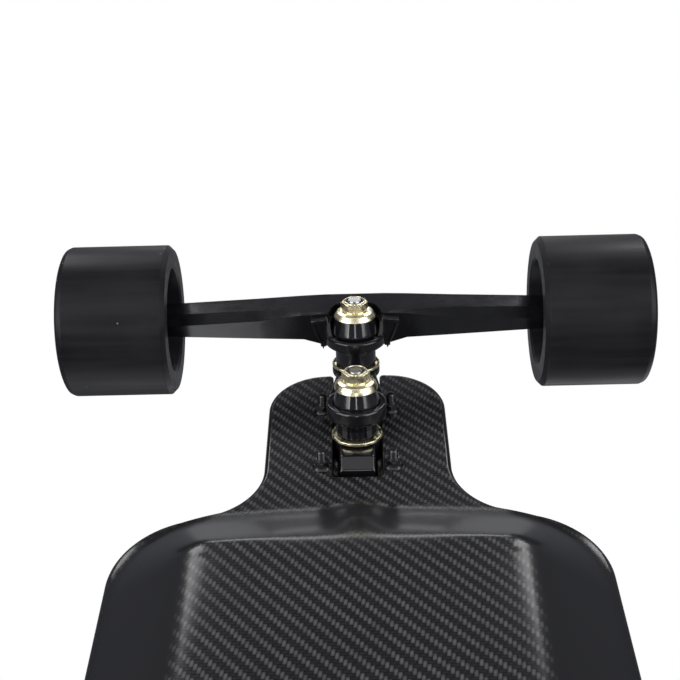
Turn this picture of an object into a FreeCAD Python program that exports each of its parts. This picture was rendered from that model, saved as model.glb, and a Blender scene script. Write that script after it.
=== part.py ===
"""Electric skateboard: a moulded carbon board with drop-through double-kingpin trucks.

Millimetres. +Z is up, +Y points to the nose, +X is the rider's right. The board
stands on its wheels, and the origin is the bottom centre of its bounding box.
Each truck is modelled in its own frame: +Y points outboard (to the nose or tail),
z = 0 is the deck's underside, and the origin is the centre of its bolt pattern.
"""
import FreeCAD, Part
import math
import os

V = FreeCAD.Vector

# ---- driving dimensions -------------------------------------------------
WHEEL_R = 47.0            # 94 mm wheels
WHEEL_W = 66.5
WHEEL_IN = 113.5          # inner face of a wheel from the centre plane
AXLE_Y = 78.0             # axle outboard of the bolt pattern
AXLE_DROP = 36.0          # axle below the deck's underside
BOLT_Y = 420.0            # bolt pattern centres, fore and aft
BOLT_DX = 41.3            # truck bolt pattern
BOLT_DY = 54.0
DECK_T = 9.0              # deck plate thickness
DECK_HALF = 132.0
NECK_HALF = 54.0
NOSE_Y = 65.0             # deck end outboard of the bolt pattern
NOSE_R = 35.0
TUB_DEPTH = 28.0          # battery tub below the underside
TUB_WALL = 4.0
AXLE_R = 4.0
KINGPIN_R = 4.75
NUT_FLATS = 14.3          # kingpin nuts and heads, across flats
BOLT_R = 2.5              # truck bolts
BOLT_HOLE_R = 2.75
TILT = 9.0                # kingpins lean outboard
LEAN = 12.0               # each stage leans this far each way
PULLEY_TEETH = 36
PINION_TEETH = 15
BELT_PITCH = 5.0
MOTOR_R = 31.5
MOTOR_DY = 62.0           # motor axis outboard of and above the axle
MOTOR_DZ = 22.6

# ---- kingpins: the foot is where the lower cup washer sits ---------------
FOOT_1 = V(0, -1.2, -1.5)
FOOT_2 = V(0, 51.0, -16.2)
RING_1 = (14.9, 23.8)     # heights of the rings along their kingpins
RING_2 = (15.9, 22.4)
RING_HOLE_R = 7.2
HEAD_1 = -11.0            # the first kingpin's head, above its foot
TIP_1 = 45.2              # ends of the kingpins
TIP_2 = 46.2
PIVOT_1 = V(0, 44.0, 3.0)
PIVOT_2 = V(0, 88.0, -20.0)
PIVOT_PIN_R = 5.0
PIVOT_CUP_R = 7.0

UNDERSIDE_Z = WHEEL_R + AXLE_DROP
DECK_TOP = UNDERSIDE_Z + DECK_T
FRONT_END = BOLT_Y + AXLE_Y + WHEEL_R
REAR_END = BOLT_Y + AXLE_Y + MOTOR_DY + MOTOR_R
SHIFT_Y = (REAR_END - FRONT_END) / 2.0   # centres the bounding box on the origin

K_DIR = V(0, math.sin(math.radians(TILT)), -math.cos(math.radians(TILT)))

nodes = {}


def add(name, shapes):
    """Keep one node: a list of one or more separate solids."""
    nodes[name] = shapes


# ---- small shape helpers --------------------------------------------------
def on_kingpin(foot):
    """Placement whose local +Z runs down the kingpin from its foot."""
    return FreeCAD.Placement(foot, FreeCAD.Rotation(V(1, 0, 0), 180.0 + TILT))


def revolve(profile, place=None):
    """Solid of revolution of (radius, height) points about the local Z axis."""
    points = [V(r, 0, h) for r, h in profile]
    points.append(points[0])
    face = Part.Face(Part.makePolygon(points))
    solid = face.revolve(V(0, 0, 0), V(0, 0, 1), 360)
    if place is not None:
        solid.Placement = place
    return solid


def cylinder(r, h0, h1, place=None):
    solid = Part.makeCylinder(r, h1 - h0, V(0, 0, h0))
    if place is not None:
        solid.Placement = place
    return solid


def along_x(r, x0, x1, y, z):
    return Part.makeCylinder(r, x1 - x0, V(x0, y, z), V(1, 0, 0))


def ring_x(r_in, r_out, x0, x1, y, z):
    return along_x(r_out, x0, x1, y, z).cut(along_x(r_in, x0 - 1, x1 + 1, y, z))


def rod(r, start, end):
    axis = end - start
    return Part.makeCylinder(r, axis.Length, start, axis)


def box(x0, x1, y0, y1, z0, z1):
    return Part.makeBox(x1 - x0, y1 - y0, z1 - z0, V(x0, y0, z0))


def prism_x(yz, x0, x1):
    """Extrude a closed outline in the YZ plane from x0 to x1."""
    points = [V(x0, y, z) for y, z in yz]
    points.append(points[0])
    return Part.Face(Part.makePolygon(points)).extrude(V(x1 - x0, 0, 0))


def loft(sections):
    """Solid through closed polygons that have the same number of corners."""
    wires = []
    for points in sections:
        corners = [V(*p) for p in points]
        corners.append(corners[0])
        wires.append(Part.makePolygon(corners))
    return Part.makeLoft(wires, True, True)


def hexagon(across_flats, h0, h1, place=None, chamfer=0.8):
    """Hexagonal prism with its end corners turned off."""
    corner_r = across_flats / math.sqrt(3)
    points = []
    for k in range(7):
        angle = math.radians(60 * k + 30)
        points.append(V(corner_r * math.cos(angle), corner_r * math.sin(angle), h0))
    prism = Part.Face(Part.makePolygon(points)).extrude(V(0, 0, h1 - h0))
    turned = revolve([(0, h0), (corner_r - chamfer, h0), (corner_r, h0 + chamfer * 0.6),
                      (corner_r, h1 - chamfer * 0.6), (corner_r - chamfer, h1), (0, h1)])
    solid = prism.common(turned)
    if place is not None:
        solid.Placement = place
    return solid


def rounded_slab(half_x, y0, y1, z0, z1, r):
    """Box with rounded vertical corners."""
    slab = box(-half_x, half_x, y0, y1, z0, z1)
    upright = [e for e in slab.Edges if abs(e.tangentAt(e.FirstParameter).z) > 0.99]
    return slab.makeFillet(r, upright)


def around(centre, r, count, start=0.0):
    """Evenly spaced (y, z) points on a circle."""
    points = []
    for k in range(count):
        angle = math.radians(start + 360.0 * k / count)
        points.append((centre[0] + r * math.cos(angle), centre[1] + r * math.sin(angle)))
    return points


def belt_loop(r_a, r_b, centre_a, centre_b, x0, x1):
    """Hull of two circles about X: centres are (y, z) pairs."""
    dy = centre_b[0] - centre_a[0]
    dz = centre_b[1] - centre_a[1]
    dist = math.hypot(dy, dz)
    base = math.atan2(dz, dy)
    spread = math.acos((r_a - r_b) / dist)
    corners = []
    for centre, r, sign in ((centre_a, r_a, 1), (centre_b, r_b, 1),
                            (centre_b, r_b, -1), (centre_a, r_a, -1)):
        angle = base + sign * spread
        corners.append((centre[0] + r * math.cos(angle), centre[1] + r * math.sin(angle)))
    hull = prism_x(corners, x0, x1)
    hull = hull.fuse(along_x(r_a, x0, x1, *centre_a))
    return hull.fuse(along_x(r_b, x0, x1, *centre_b)).removeSplitter()


def one(shape):
    """Fused result as a single clean solid."""
    return shape.removeSplitter()


def mirrored(shape):
    return shape.mirror(V(0, 0, 0), V(1, 0, 0))


def both_sides(shape):
    return [shape, mirrored(shape)]


# ---- placing the truck frames in the board ----------------------------------
def at_front(shape):
    moved = shape.copy()
    moved.translate(V(0, BOLT_Y + SHIFT_Y, UNDERSIDE_Z))
    return moved


def at_rear(shape):
    moved = shape.copy()
    moved.rotate(V(0, 0, 0), V(0, 0, 1), 180)
    moved.translate(V(0, -BOLT_Y + SHIFT_Y, UNDERSIDE_Z))
    return moved


ENDS = {"front": at_front, "rear": at_rear}


# ---- deck ---------------------------------------------------------------
SHOULDER_R = 50.0         # convex shoulder
WAIST_R = 40.0            # concave waist between neck and shoulder
SHOULDER_Y = -118.0       # shoulder centre, from the bolt pattern
WAIST_Y = -27.0
SLOT_HALF = 14.5
SLOT_END_Y = -36.0
MOUTH_R = 4.5
CAVITY_HALF = 80.0
CAVITY_Y = (-300.0, 300.0)
LID_HALF = 95.5
LID_Y = (-258.0, 315.0)
LID_OPEN_Y = (-244.0, 300.0)
LID_T = 3.0
LID_R = 12.0
LID_GAP = 0.3
SCREW_R = 1.5             # M3 lid screws
GASKET_T = 0.8
ROOF_Z = 4.0              # underside of the fixed roof behind the lid
PORT_XY = (28.0, -279.0)
PORT_BARREL_R = 10.9
BUTTON_XY = (-28.0, -279.0)
BEZEL_BARREL_R = 8.9
ROOF_HOLE_GAP = 0.1
RIM_R = 3.0               # rounding of the deck's edge


def quarter_outline():
    """Edges of the deck's right front quarter, nose centre to midship side."""
    waist = V(NECK_HALF + WAIST_R, BOLT_Y + WAIST_Y, 0)
    shoulder = V(DECK_HALF - SHOULDER_R, BOLT_Y + SHOULDER_Y, 0)
    between = shoulder - waist
    dist = between.Length
    turn = math.acos((WAIST_R + SHOULDER_R) / dist)
    angle = math.atan2(between.y, between.x) - turn
    toward = V(math.cos(angle), math.sin(angle), 0)
    leave = waist + toward * WAIST_R
    join = shoulder - toward * SHOULDER_R
    nose_y = BOLT_Y + NOSE_Y
    corner = V(NECK_HALF - NOSE_R, nose_y - NOSE_R, 0)
    diagonal = V(math.sqrt(0.5), math.sqrt(0.5), 0) * NOSE_R
    half_turn = (math.atan2(toward.y, toward.x) % (2 * math.pi) + math.pi) / 2
    waist_mid = waist + V(math.cos(half_turn), math.sin(half_turn), 0) * WAIST_R
    shoulder_turn = math.atan2(-toward.y, -toward.x) / 2
    shoulder_mid = shoulder + V(math.cos(shoulder_turn), math.sin(shoulder_turn), 0) * SHOULDER_R
    neck_top = V(NECK_HALF, nose_y - NOSE_R, 0)
    neck_low = V(NECK_HALF, BOLT_Y + WAIST_Y, 0)
    side = V(DECK_HALF, BOLT_Y + SHOULDER_Y, 0)
    return [
        Part.LineSegment(V(0, nose_y, 0), V(corner.x, nose_y, 0)).toShape(),
        Part.Arc(V(corner.x, nose_y, 0), corner + diagonal, neck_top).toShape(),
        Part.LineSegment(neck_top, neck_low).toShape(),
        Part.Arc(neck_low, waist_mid, leave).toShape(),
        Part.LineSegment(leave, join).toShape(),
        Part.Arc(join, shoulder_mid, side).toShape(),
        Part.LineSegment(side, V(DECK_HALF, 0, 0)).toShape(),
    ]


def deck_outline():
    quarter = quarter_outline()
    half = quarter + [e.mirror(V(0, 0, 0), V(0, 1, 0)) for e in quarter]
    edges = half + [e.mirror(V(0, 0, 0), V(1, 0, 0)) for e in half]
    return Part.Face(Part.Wire(Part.__sortEdges__(edges)))


def tub_body():
    """Battery tub under the deck: a loft whose walls lean in as they go down."""
    top_half, top_y, top_r = 126.0, BOLT_Y - 69.0, 47.0
    low_half, low_y, low_r = 87.0, BOLT_Y - 109.0, 14.0
    sections = []
    for half, reach, r, z in ((top_half, top_y, top_r, 0.5), (low_half, low_y, low_r, -TUB_DEPTH)):
        slab = rounded_slab(half, -reach, reach, z, z + 1, r)
        face = [f for f in slab.Faces if abs(f.CenterOfMass.z - z) < 1e-6][0]
        sections.append(face.OuterWire)
    return Part.makeLoft(sections, True, True)


def slot_cut():
    """Slot for the truck, open at the deck's end, with rounded mouth corners."""
    y_end = BOLT_Y + NOSE_Y
    cut = box(-SLOT_HALF, SLOT_HALF, BOLT_Y + SLOT_END_Y, y_end + 1, -1, DECK_T + 1)
    mouth_half = SLOT_HALF + MOUTH_R
    mouth_y = y_end - MOUTH_R
    flare = box(-mouth_half, mouth_half, mouth_y, y_end + 1, -1, DECK_T + 1)
    for side in (-1, 1):
        corner = V(side * mouth_half, mouth_y, -2)
        flare = flare.cut(Part.makeCylinder(MOUTH_R, DECK_T + 4, corner))
    return cut.fuse(flare)


def bolt_places(y_centre):
    places = []
    for sx in (-1, 1):
        for sy in (-1, 1):
            places.append((sx * BOLT_DX / 2, y_centre + sy * BOLT_DY / 2))
    return places


def lid_screw_places():
    places = []
    x_row = (CAVITY_HALF + LID_HALF) / 2
    count = 6
    inset = 12.0
    span = (LID_Y[1] - LID_Y[0]) - 2 * inset
    for k in range(count):
        y = LID_Y[0] + inset + span * k / (count - 1)
        places.append((x_row, y))
        places.append((-x_row, y))
    for x in (-30.0, 30.0):
        places.append((x, (LID_Y[0] + LID_OPEN_Y[0]) / 2))
        places.append((x, (LID_Y[1] + LID_OPEN_Y[1]) / 2))
    return places


def deck_shell():
    plate = deck_outline().extrude(V(0, 0, DECK_T)).removeSplitter()
    rims = [e for e in plate.Edges if e.BoundBox.ZLength < 1e-6]
    plate = plate.makeFillet(RIM_R, rims)
    shell = plate.fuse(tub_body())
    floor = -TUB_DEPTH + TUB_WALL
    shell = shell.cut(box(-CAVITY_HALF, CAVITY_HALF, CAVITY_Y[0], CAVITY_Y[1], floor, ROOF_Z))
    shell = shell.cut(box(-CAVITY_HALF, CAVITY_HALF, LID_OPEN_Y[0], LID_OPEN_Y[1], 0, DECK_T + 1))
    seat = DECK_T - LID_T - GASKET_T
    shell = shell.cut(rounded_slab(LID_HALF + LID_GAP, LID_Y[0] - LID_GAP, LID_Y[1] + LID_GAP,
                                   seat, DECK_T + 1, LID_R + LID_GAP))
    for turn in (0, 180):
        cut = slot_cut()
        cut.rotate(V(0, 0, 0), V(0, 0, 1), turn)
        shell = shell.cut(cut)
    for y in (-BOLT_Y, BOLT_Y):
        for x_hole, y_hole in bolt_places(y):
            shell = shell.cut(Part.makeCylinder(BOLT_HOLE_R, DECK_T + 2, V(x_hole, y_hole, -1)))
    for x, y in lid_screw_places():
        shell = shell.cut(Part.makeCylinder(SCREW_R, 20, V(x, y, seat - 4.0)))
    for (x, y), barrel_r in ((PORT_XY, PORT_BARREL_R), (BUTTON_XY, BEZEL_BARREL_R)):
        shell = shell.cut(Part.makeCylinder(barrel_r + ROOF_HOLE_GAP, 20, V(x, y, 0)))
    return one(shell)


def deck_lid():
    z0 = DECK_T - LID_T
    lid = rounded_slab(LID_HALF, LID_Y[0], LID_Y[1], z0, DECK_T, LID_R)
    for x, y in lid_screw_places():
        lid = lid.cut(screw(x, y, 1.0))
    return lid


def screw(x, y, tip):
    """Countersunk M3 lid screw, its head flush with the lid."""
    head_r = 2 * SCREW_R
    profile = [(0, -tip), (SCREW_R, -tip), (SCREW_R, DECK_T - 1.7), (head_r, DECK_T - 0.2),
               (head_r, DECK_T), (0, DECK_T)]
    solid = revolve(profile)
    solid.translate(V(x, y, 0))
    return solid


def lid_screws():
    screws = []
    for x, y in lid_screw_places():
        body = screw(x, y, -1.4)
        hex_socket = hexagon(2.0, DECK_T - 1.4, DECK_T + 1, chamfer=0.01)
        hex_socket.translate(V(x, y, 0))
        screws.append(body.cut(hex_socket))
    return screws


def lid_gasket():
    z0 = DECK_T - LID_T - GASKET_T
    outer = rounded_slab(LID_HALF, LID_Y[0], LID_Y[1], z0, z0 + GASKET_T, LID_R)
    inner = box(-CAVITY_HALF, CAVITY_HALF, LID_OPEN_Y[0], LID_OPEN_Y[1], z0 - 1, z0 + 2)
    gasket = outer.cut(inner)
    for x, y in lid_screw_places():
        gasket = gasket.cut(Part.makeCylinder(SCREW_R, 4, V(x, y, z0 - 1)))
    return gasket


GRIP_T = 1.2
GRIP_LID_HALF = 82.0
GRIP_LID_Y = (-246.0, 303.0)
PORT_FLANGE_R = 13.0
PLATE_HALF = 29.0         # baseplate flange
PLATE_Y = (-38.0, 53.0)
PLATE_T = 6.0


def grip_deck():
    face = deck_outline()
    wire = face.OuterWire.makeOffset2D(-5.0)
    sheet = Part.Face(wire).extrude(V(0, 0, GRIP_T))
    sheet.translate(V(0, 0, DECK_T))
    margin = 2.0
    sheet = sheet.cut(rounded_slab(LID_HALF + margin, LID_Y[0] - margin, LID_Y[1] + margin,
                                   0, 30, LID_R + margin))
    for turn in (0, 180):
        gap = rounded_slab(PLATE_HALF + margin, BOLT_Y + PLATE_Y[0] - margin,
                           BOLT_Y + PLATE_Y[1] + 30, 0, 30, 6.0)
        gap.rotate(V(0, 0, 0), V(0, 0, 1), turn)
        sheet = sheet.cut(gap)
    for x, y in (PORT_XY, BUTTON_XY):
        sheet = sheet.cut(Part.makeCylinder(PORT_FLANGE_R + margin, 40, V(x, y, 0)))
    return sheet


def grip_lid():
    return rounded_slab(GRIP_LID_HALF, GRIP_LID_Y[0], GRIP_LID_Y[1], DECK_T, DECK_T + GRIP_T, 6.0)


# ---- inside the tub ---------------------------------------------------------
CELL_R = 10.6
CELL_L = 70.0
CELL_ROWS = 18
CELL_PITCH = 21.9
CELL_Z = -TUB_DEPTH + TUB_WALL + 12.0
CELL_Y0 = -86.0           # first row; the pack fills the front of the cavity
HOLDER_T = 5.0


def cell_places():
    places = []
    for row in range(CELL_ROWS):
        y = CELL_Y0 + CELL_PITCH * row
        for x0 in (-CELL_L - 2.0, 2.0):
            places.append((x0, y))
    return places


def battery_cells():
    cells = []
    for x0, y in cell_places():
        can = along_x(CELL_R, x0, x0 + CELL_L, y, CELL_Z)
        cells.append(can)
    return cells


def battery_holders():
    """Combs that hold the cells' ends, one on each side of both columns."""
    y0 = CELL_Y0 - CELL_PITCH / 2 - 1
    y1 = CELL_Y0 + CELL_PITCH * (CELL_ROWS - 0.5) + 1
    holders = []
    for x0 in (-70.0, -8.0, 3.0, 65.0):
        comb = box(x0, x0 + HOLDER_T, y0, y1, CELL_Z - 11.9, CELL_Z + 11.6)
        for cell_x, y in cell_places():
            comb = comb.cut(along_x(CELL_R, x0 - 1, x0 + HOLDER_T + 1, y, CELL_Z))
        holders.append(comb)
    return holders


def bms_board():
    board = box(-40, 40, -60, 70, CELL_Z + 12.2, CELL_Z + 13.8)
    for k in range(6):
        part = box(-34 + 12 * k, -26 + 12 * k, 40, 56, CELL_Z + 13.8, CELL_Z + 15.6)
        board = board.fuse(part)
    return one(board)


def speed_controller():
    floor = -TUB_DEPTH + TUB_WALL
    case = rounded_slab(46, -236, -116, floor, floor + 22, 5)
    for k in range(11):
        x = -42 + 8 * k
        case = case.cut(box(x, x + 4, -220, -132, floor + 17, floor + 23))
    return case


def receiver():
    floor = -TUB_DEPTH + TUB_WALL
    return rounded_slab(12, -176, -140, floor, floor + 7, 1.5).translated(V(64, 0, 0))


# ---- switch and charging port in the fixed roof ----------------------------
PORT_HOLE_R = 5.5
PORT_DEPTH = 14.0
PORT_FLANGE_T = 2.0
CAP_T = 2.2
CAP_Z = DECK_T + PORT_FLANGE_T + 0.1
CAP_HINGE_Y = 14.4        # knuckle beside the flange
CAP_HINGE_Z = CAP_Z + CAP_T / 2
BUTTON_R = 6.2
BUTTON_TRAVEL = 1.5


def charge_port():
    """Round socket with a flange on the deck's top; it opens upwards."""
    flange = cylinder(PORT_FLANGE_R, DECK_T, DECK_T + PORT_FLANGE_T)
    barrel = cylinder(PORT_BARREL_R, DECK_T - 18.0, DECK_T)
    port = flange.fuse(barrel)
    port = port.cut(cylinder(PORT_HOLE_R, DECK_T + PORT_FLANGE_T - PORT_DEPTH, DECK_T + 5))
    port.translate(V(PORT_XY[0], PORT_XY[1], 0))
    return one(port)


def charge_cap():
    """Rubber cap over the port, with a lug that hinges beside the flange."""
    x, y = PORT_XY
    lug = 4.0
    cap = cylinder(PORT_FLANGE_R - 0.4, CAP_Z, CAP_Z + CAP_T)
    cap = cap.fuse(box(-lug, lug, 10, CAP_HINGE_Y, CAP_Z, CAP_Z + CAP_T))
    cap = cap.fuse(along_x(CAP_T / 2, -lug, lug, CAP_HINGE_Y, CAP_HINGE_Z))
    cap.translate(V(x, y, 0))
    return one(cap)


def button_bezel():
    bezel = cylinder(11.5, DECK_T, DECK_T + 2.4).fuse(cylinder(BEZEL_BARREL_R, DECK_T - 13, DECK_T))
    bezel = bezel.cut(cylinder(BUTTON_R + 0.3, DECK_T - 3.5, DECK_T + 5))
    bezel.translate(V(BUTTON_XY[0], BUTTON_XY[1], 0))
    return one(bezel)


def power_button():
    button = cylinder(BUTTON_R, DECK_T - 1.5, DECK_T + 2.6)
    button.translate(V(BUTTON_XY[0], BUTTON_XY[1], 0))
    return button


# ---- truck pieces, in the truck frame ----------------------------------------
def direction(start, end):
    step = end - start
    return step.normalize()


def kingpin_point(foot, height):
    return foot + K_DIR * height


CENTRE_1 = kingpin_point(FOOT_1, sum(RING_1) / 2)
CENTRE_2 = kingpin_point(FOOT_2, sum(RING_2) / 2)
AXIS_1 = direction(CENTRE_1, PIVOT_1)
AXIS_2 = direction(CENTRE_2, PIVOT_2)


def pivot_cup(centre, axis):
    """Urethane cup: a sleeve with a rounded blind end."""
    cup = rod(PIVOT_CUP_R, centre - axis * 7.0, centre + axis * 7.0)
    bore = rod(PIVOT_PIN_R + 0.35, centre - axis * 8.0, centre)
    bore = bore.fuse(Part.makeSphere(PIVOT_PIN_R + 0.35, centre))
    return cup.cut(bore)


def pivot_pin(root, centre):
    return rod(PIVOT_PIN_R, root, centre).fuse(Part.makeSphere(PIVOT_PIN_R, centre))


def pivot_housing(centre, axis):
    return rod(PIVOT_CUP_R + 2.2, centre - axis * 7.0, centre + axis * 9.0)


def kingpin_1():
    """Headed kingpin: it goes down through the baseplate."""
    place = on_kingpin(FOOT_1)
    pin = cylinder(KINGPIN_R, HEAD_1, TIP_1, place)
    return one(pin.fuse(hexagon(NUT_FLATS, HEAD_1 - 5.0, HEAD_1, place)))


def kingpin_2():
    """Stud kingpin, pressed into the link."""
    return cylinder(KINGPIN_R, -4.0, TIP_2, on_kingpin(FOOT_2))


def baseplate():
    z0 = DECK_T
    plate = rounded_slab(PLATE_HALF, PLATE_Y[0], PLATE_Y[1], z0, z0 + PLATE_T, 8.0)
    rims = [e for e in plate.Edges if e.BoundBox.ZLength < 1e-6 and e.BoundBox.ZMin > z0 + 1]
    plate = plate.makeFillet(1.5, rims)
    block_half = 10.5
    block = prism_x([(-31.5, z0 + 1), (-31, 0), (-23.6, -5.0), (16.0, 1.2), (16.0, z0 + 1)],
                    -block_half, block_half)
    lower = [e for e in block.Edges if e.BoundBox.ZMax < 1.5]
    sides = [e for e in lower if e.BoundBox.XLength < 1]
    block = block.makeFillet(2.0, sides)
    pad = cylinder(13.6, -14.0, 0.0, on_kingpin(FOOT_1))
    pad = pad.common(box(-20, 20, -40, 40, -30, z0 + 1))
    web = prism_x([(8, z0 + 1), (8, 1.0), (30, 1.5), (46, 6.0), (52, z0), (52, z0 + 1)], -8.0, 8.0)
    shape = plate.fuse(block).fuse(pad).fuse(web).fuse(pivot_housing(PIVOT_1, AXIS_1))
    shape = shape.common(box(-60, 60, -60, 60, -40, z0 + PLATE_T + 4))
    shape = shape.cut(rod(PIVOT_CUP_R, PIVOT_1 - AXIS_1 * 20.0, PIVOT_1 + AXIS_1 * 7.0))
    shape = shape.cut(kingpin_1())
    shape = shape.cut(hexagon(NUT_FLATS, -30.0, HEAD_1, on_kingpin(FOOT_1)))
    for x, y in bolt_places(0):
        shape = shape.cut(Part.makeCylinder(BOLT_HOLE_R, 30, V(x, y, z0 - 5)))
    return one(shape)


def truck_bolts():
    """Four button-head M5 bolts with flanged lock nuts under the deck."""
    pieces = []
    top = DECK_T + PLATE_T
    for x, y in bolt_places(0):
        bolt = revolve([(0, -12.0), (2.0, -12.0), (BOLT_R, -11.4), (BOLT_R, top), (4.75, top),
                        (4.4, top + 1.6), (3.2, top + 2.7), (0, top + 2.7)])
        bolt = bolt.cut(hexagon(3.0, top + 1.0, top + 4, chamfer=0.01))
        bolt.translate(V(x, y, 0))
        nut = revolve([(BOLT_R, 0), (5.6, 0), (5.6, -0.9), (4.2, -1.9), (BOLT_R, -1.9)])
        hex_part = hexagon(8.0, -5.4, -1.0, chamfer=0.5)
        collar = revolve([(BOLT_R, -5.4), (3.7, -5.4), (3.5, -6.6), (BOLT_R, -6.6)])
        nut = nut.fuse(hex_part).fuse(collar).cut(Part.makeCylinder(BOLT_R, 20, V(0, 0, -15)))
        nut.translate(V(x, y, 0))
        pieces.append(bolt)
        pieces.append(one(nut))
    return pieces


WASHER_HOLE_R = KINGPIN_R + 0.05


def cup_washer_low(place, r):
    """Thin cup washer: its rim turns away from the deck."""
    profile = [(WASHER_HOLE_R, 0), (r - 1.2, 0), (r, 1.2), (r, 3.6), (r - 0.5, 4.1),
               (r - 1.1, 3.6), (r - 1.1, 2.0), (WASHER_HOLE_R, 2.0)]
    return revolve(profile, place)


def cup_washer_high(place, seat, top):
    """Deep cup washer, its skirt over the bushing's end."""
    profile = [(WASHER_HOLE_R, seat), (11.3, seat), (11.3, seat - 1.4), (12.0, seat - 1.8),
               (12.6, seat - 1.2), (12.6, top - 2.4), (11.4, top - 0.8), (9.4, top),
               (WASHER_HOLE_R, top)]
    return revolve(profile, place)


def kingpin_nut(place, h0):
    """Hexagonal lock nut with a nylon collar."""
    washer_face = cylinder(7.6, h0, h0 + 0.6, place)
    nut = hexagon(NUT_FLATS, h0 + 0.6, h0 + 5.0, place)
    collar = revolve([(4.7, h0 + 5.0), (6.6, h0 + 5.0), (6.3, h0 + 6.3), (5.6, h0 + 6.6),
                      (4.7, h0 + 6.6)], place)
    hole = cylinder(WASHER_HOLE_R, h0 - 1, h0 + 9, place)
    return one(washer_face.fuse(nut).fuse(collar).cut(hole))


SEAT_1 = (34.2, 37.7)     # upper cup washers, first and second kingpin
SEAT_2 = (35.2, 38.0)
BUSHING_HOLE_R = KINGPIN_R + 0.1


def kingpin_hardware(foot, seats, low_r):
    place = on_kingpin(foot)
    return [cup_washer_low(place, low_r), cup_washer_high(place, *seats), kingpin_nut(place, seats[1])]


def bushings_1():
    place = on_kingpin(FOOT_1)
    hole = BUSHING_HOLE_R
    low = [(hole, 2.0), (11.8, 2.0), (12.2, 3.2), (12.0, 9.0), (12.6, 15.9), (hole, 15.9)]
    high = [(hole, 22.4), (13.5, 22.4), (13.5, 25.0), (11.1, 33.2), (11.1, 34.2), (hole, 34.2)]
    return [revolve(low, place), revolve(high, place)]


def bushings_2():
    place = on_kingpin(FOOT_2)
    hole = BUSHING_HOLE_R
    low = [(hole, 2.0), (12.0, 2.0), (12.3, 3.2), (12.3, 12.0), (12.8, 16.7), (hole, 16.7)]
    high = [(hole, 21.6), (13.4, 21.6), (14.3, 25.5), (14.0, 29.5), (12.4, 33.2), (11.2, 33.2),
            (11.2, 35.2), (hole, 35.2)]
    return [revolve(low, place), revolve(high, place)]


def link():
    """Middle member: ring on the first kingpin, seat of the second, pivots on both."""
    place_1 = on_kingpin(FOOT_1)
    place_2 = on_kingpin(FOOT_2)
    ring = revolve([(0, RING_1[0]), (16.6, RING_1[0]), (17.7, RING_1[0] + 1.1),
                    (17.7, RING_1[1] - 1.0), (16.9, RING_1[1]), (0, RING_1[1])], place_1)
    arm = loft([
        [(-17.0, 2.0, -14.5), (17.0, 2.0, -14.5), (17.4, 2.0, -24.4), (-17.4, 2.0, -24.4)],
        [(-12.6, 43.0, -10.6), (12.6, 43.0, -10.6), (11.6, 43.0, -17.2), (-11.6, 43.0, -17.2)],
    ])
    seat = revolve([(0, -5.4), (12.5, -5.4), (14.6, -3.6), (14.6, 0), (0, 0)], place_2)
    nose = prism_x([(44, -9.6), (44, -15.5), (52, -15.9), (64, -13.9), (80, -13.4), (90, -16.0),
                    (94, -12.5), (91, -7.5), (80, -5.5), (58, -7.5)], -8.0, 8.0)
    shape = arm.fuse(seat).fuse(nose).fuse(pivot_housing(PIVOT_2, AXIS_2))
    shape = shape.cut(cylinder(15.0, RING_1[1], 60.0, place_1))
    shape = shape.cut(cylinder(16.6, -10.0, RING_1[0], place_1))
    shape = shape.cut(cylinder(16.0, 0.0, 30.0, place_2))
    pin_root = PIVOT_1 + AXIS_1 * ((22.0 - PIVOT_1.y) / AXIS_1.y)
    pin_web = prism_x([(17, -16), (34, -12.6), (31, -8.4), (26, -6.4), (20, -7.4), (17, -12)], -4.5, 4.5)
    shape = shape.fuse(ring).fuse(pivot_pin(pin_root, PIVOT_1)).fuse(pin_web)
    shape = shape.cut(cylinder(RING_HOLE_R, -10.0, 60.0, place_1))
    shape = shape.cut(cylinder(13.7, RING_1[1] - 1.4, RING_1[1] + 1.0, place_1))
    shape = shape.cut(cylinder(12.8, RING_1[0] - 1.0, RING_1[0] + 1.0, place_1))
    shape = shape.cut(rod(PIVOT_CUP_R, PIVOT_2 - AXIS_2 * 20.0, PIVOT_2 + AXIS_2 * 7.0))
    shape = shape.cut(kingpin_2())
    return one(shape)


def beam_section(x, corners, scale=1.0):
    """Seven-sided forged section at x, its (y, z) corners about the axle."""
    return [(x, AXLE_Y + y * scale, -AXLE_DROP - z * scale) for y, z in corners]


# Corners of each section as (y outboard, z down) about the axle: front ridge,
# second ridge, lower front, bottom, two at the back, top back.
BEAM_CENTRE = [(-18.0, 14.6), (-19.0, 13.6), (-18.6, -9.6), (-4.0, -11.5),
               (4.5, -8.0), (4.5, 8.0), (1.5, 15.2)]
BEAM_NECK = [(-16.2, 14.2), (-17.6, 12.0), (-16.6, -6.2), (-4.0, -10.0),
             (5.0, -8.0), (5.0, 8.0), (2.0, 14.4)]
BEAM_MIDDLE = [(-12.0, 12.7), (-14.4, 6.4), (-12.8, -7.4), (0.0, -9.6),
               (6.5, -7.0), (6.5, 7.0), (3.0, 12.3)]
BEAM_END = [(-7.0, 8.2), (-9.4, 0.8), (-6.5, -8.9), (3.0, -9.6),
            (8.5, -4.5), (8.5, 5.0), (5.0, 8.8)]
BEAM_STATIONS = [(18.0, BEAM_CENTRE), (32.0, BEAM_NECK), (60.0, BEAM_MIDDLE), (112.0, BEAM_END)]
BOWL_R = 15.2             # inside of the ring's raised wall


def hanger_beam():
    """Forged beam: sections grow smaller from the ring to the wheels."""
    half = BEAM_STATIONS[0][0]
    beam = loft([beam_section(x, BEAM_CENTRE) for x in (-half, half)])
    for (x0, inner), (x1, outer) in zip(BEAM_STATIONS, BEAM_STATIONS[1:]):
        arm = loft([beam_section(x0, inner), beam_section(x1, outer)])
        beam = beam.fuse(arm).fuse(mirrored(arm))
    return beam


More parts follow.
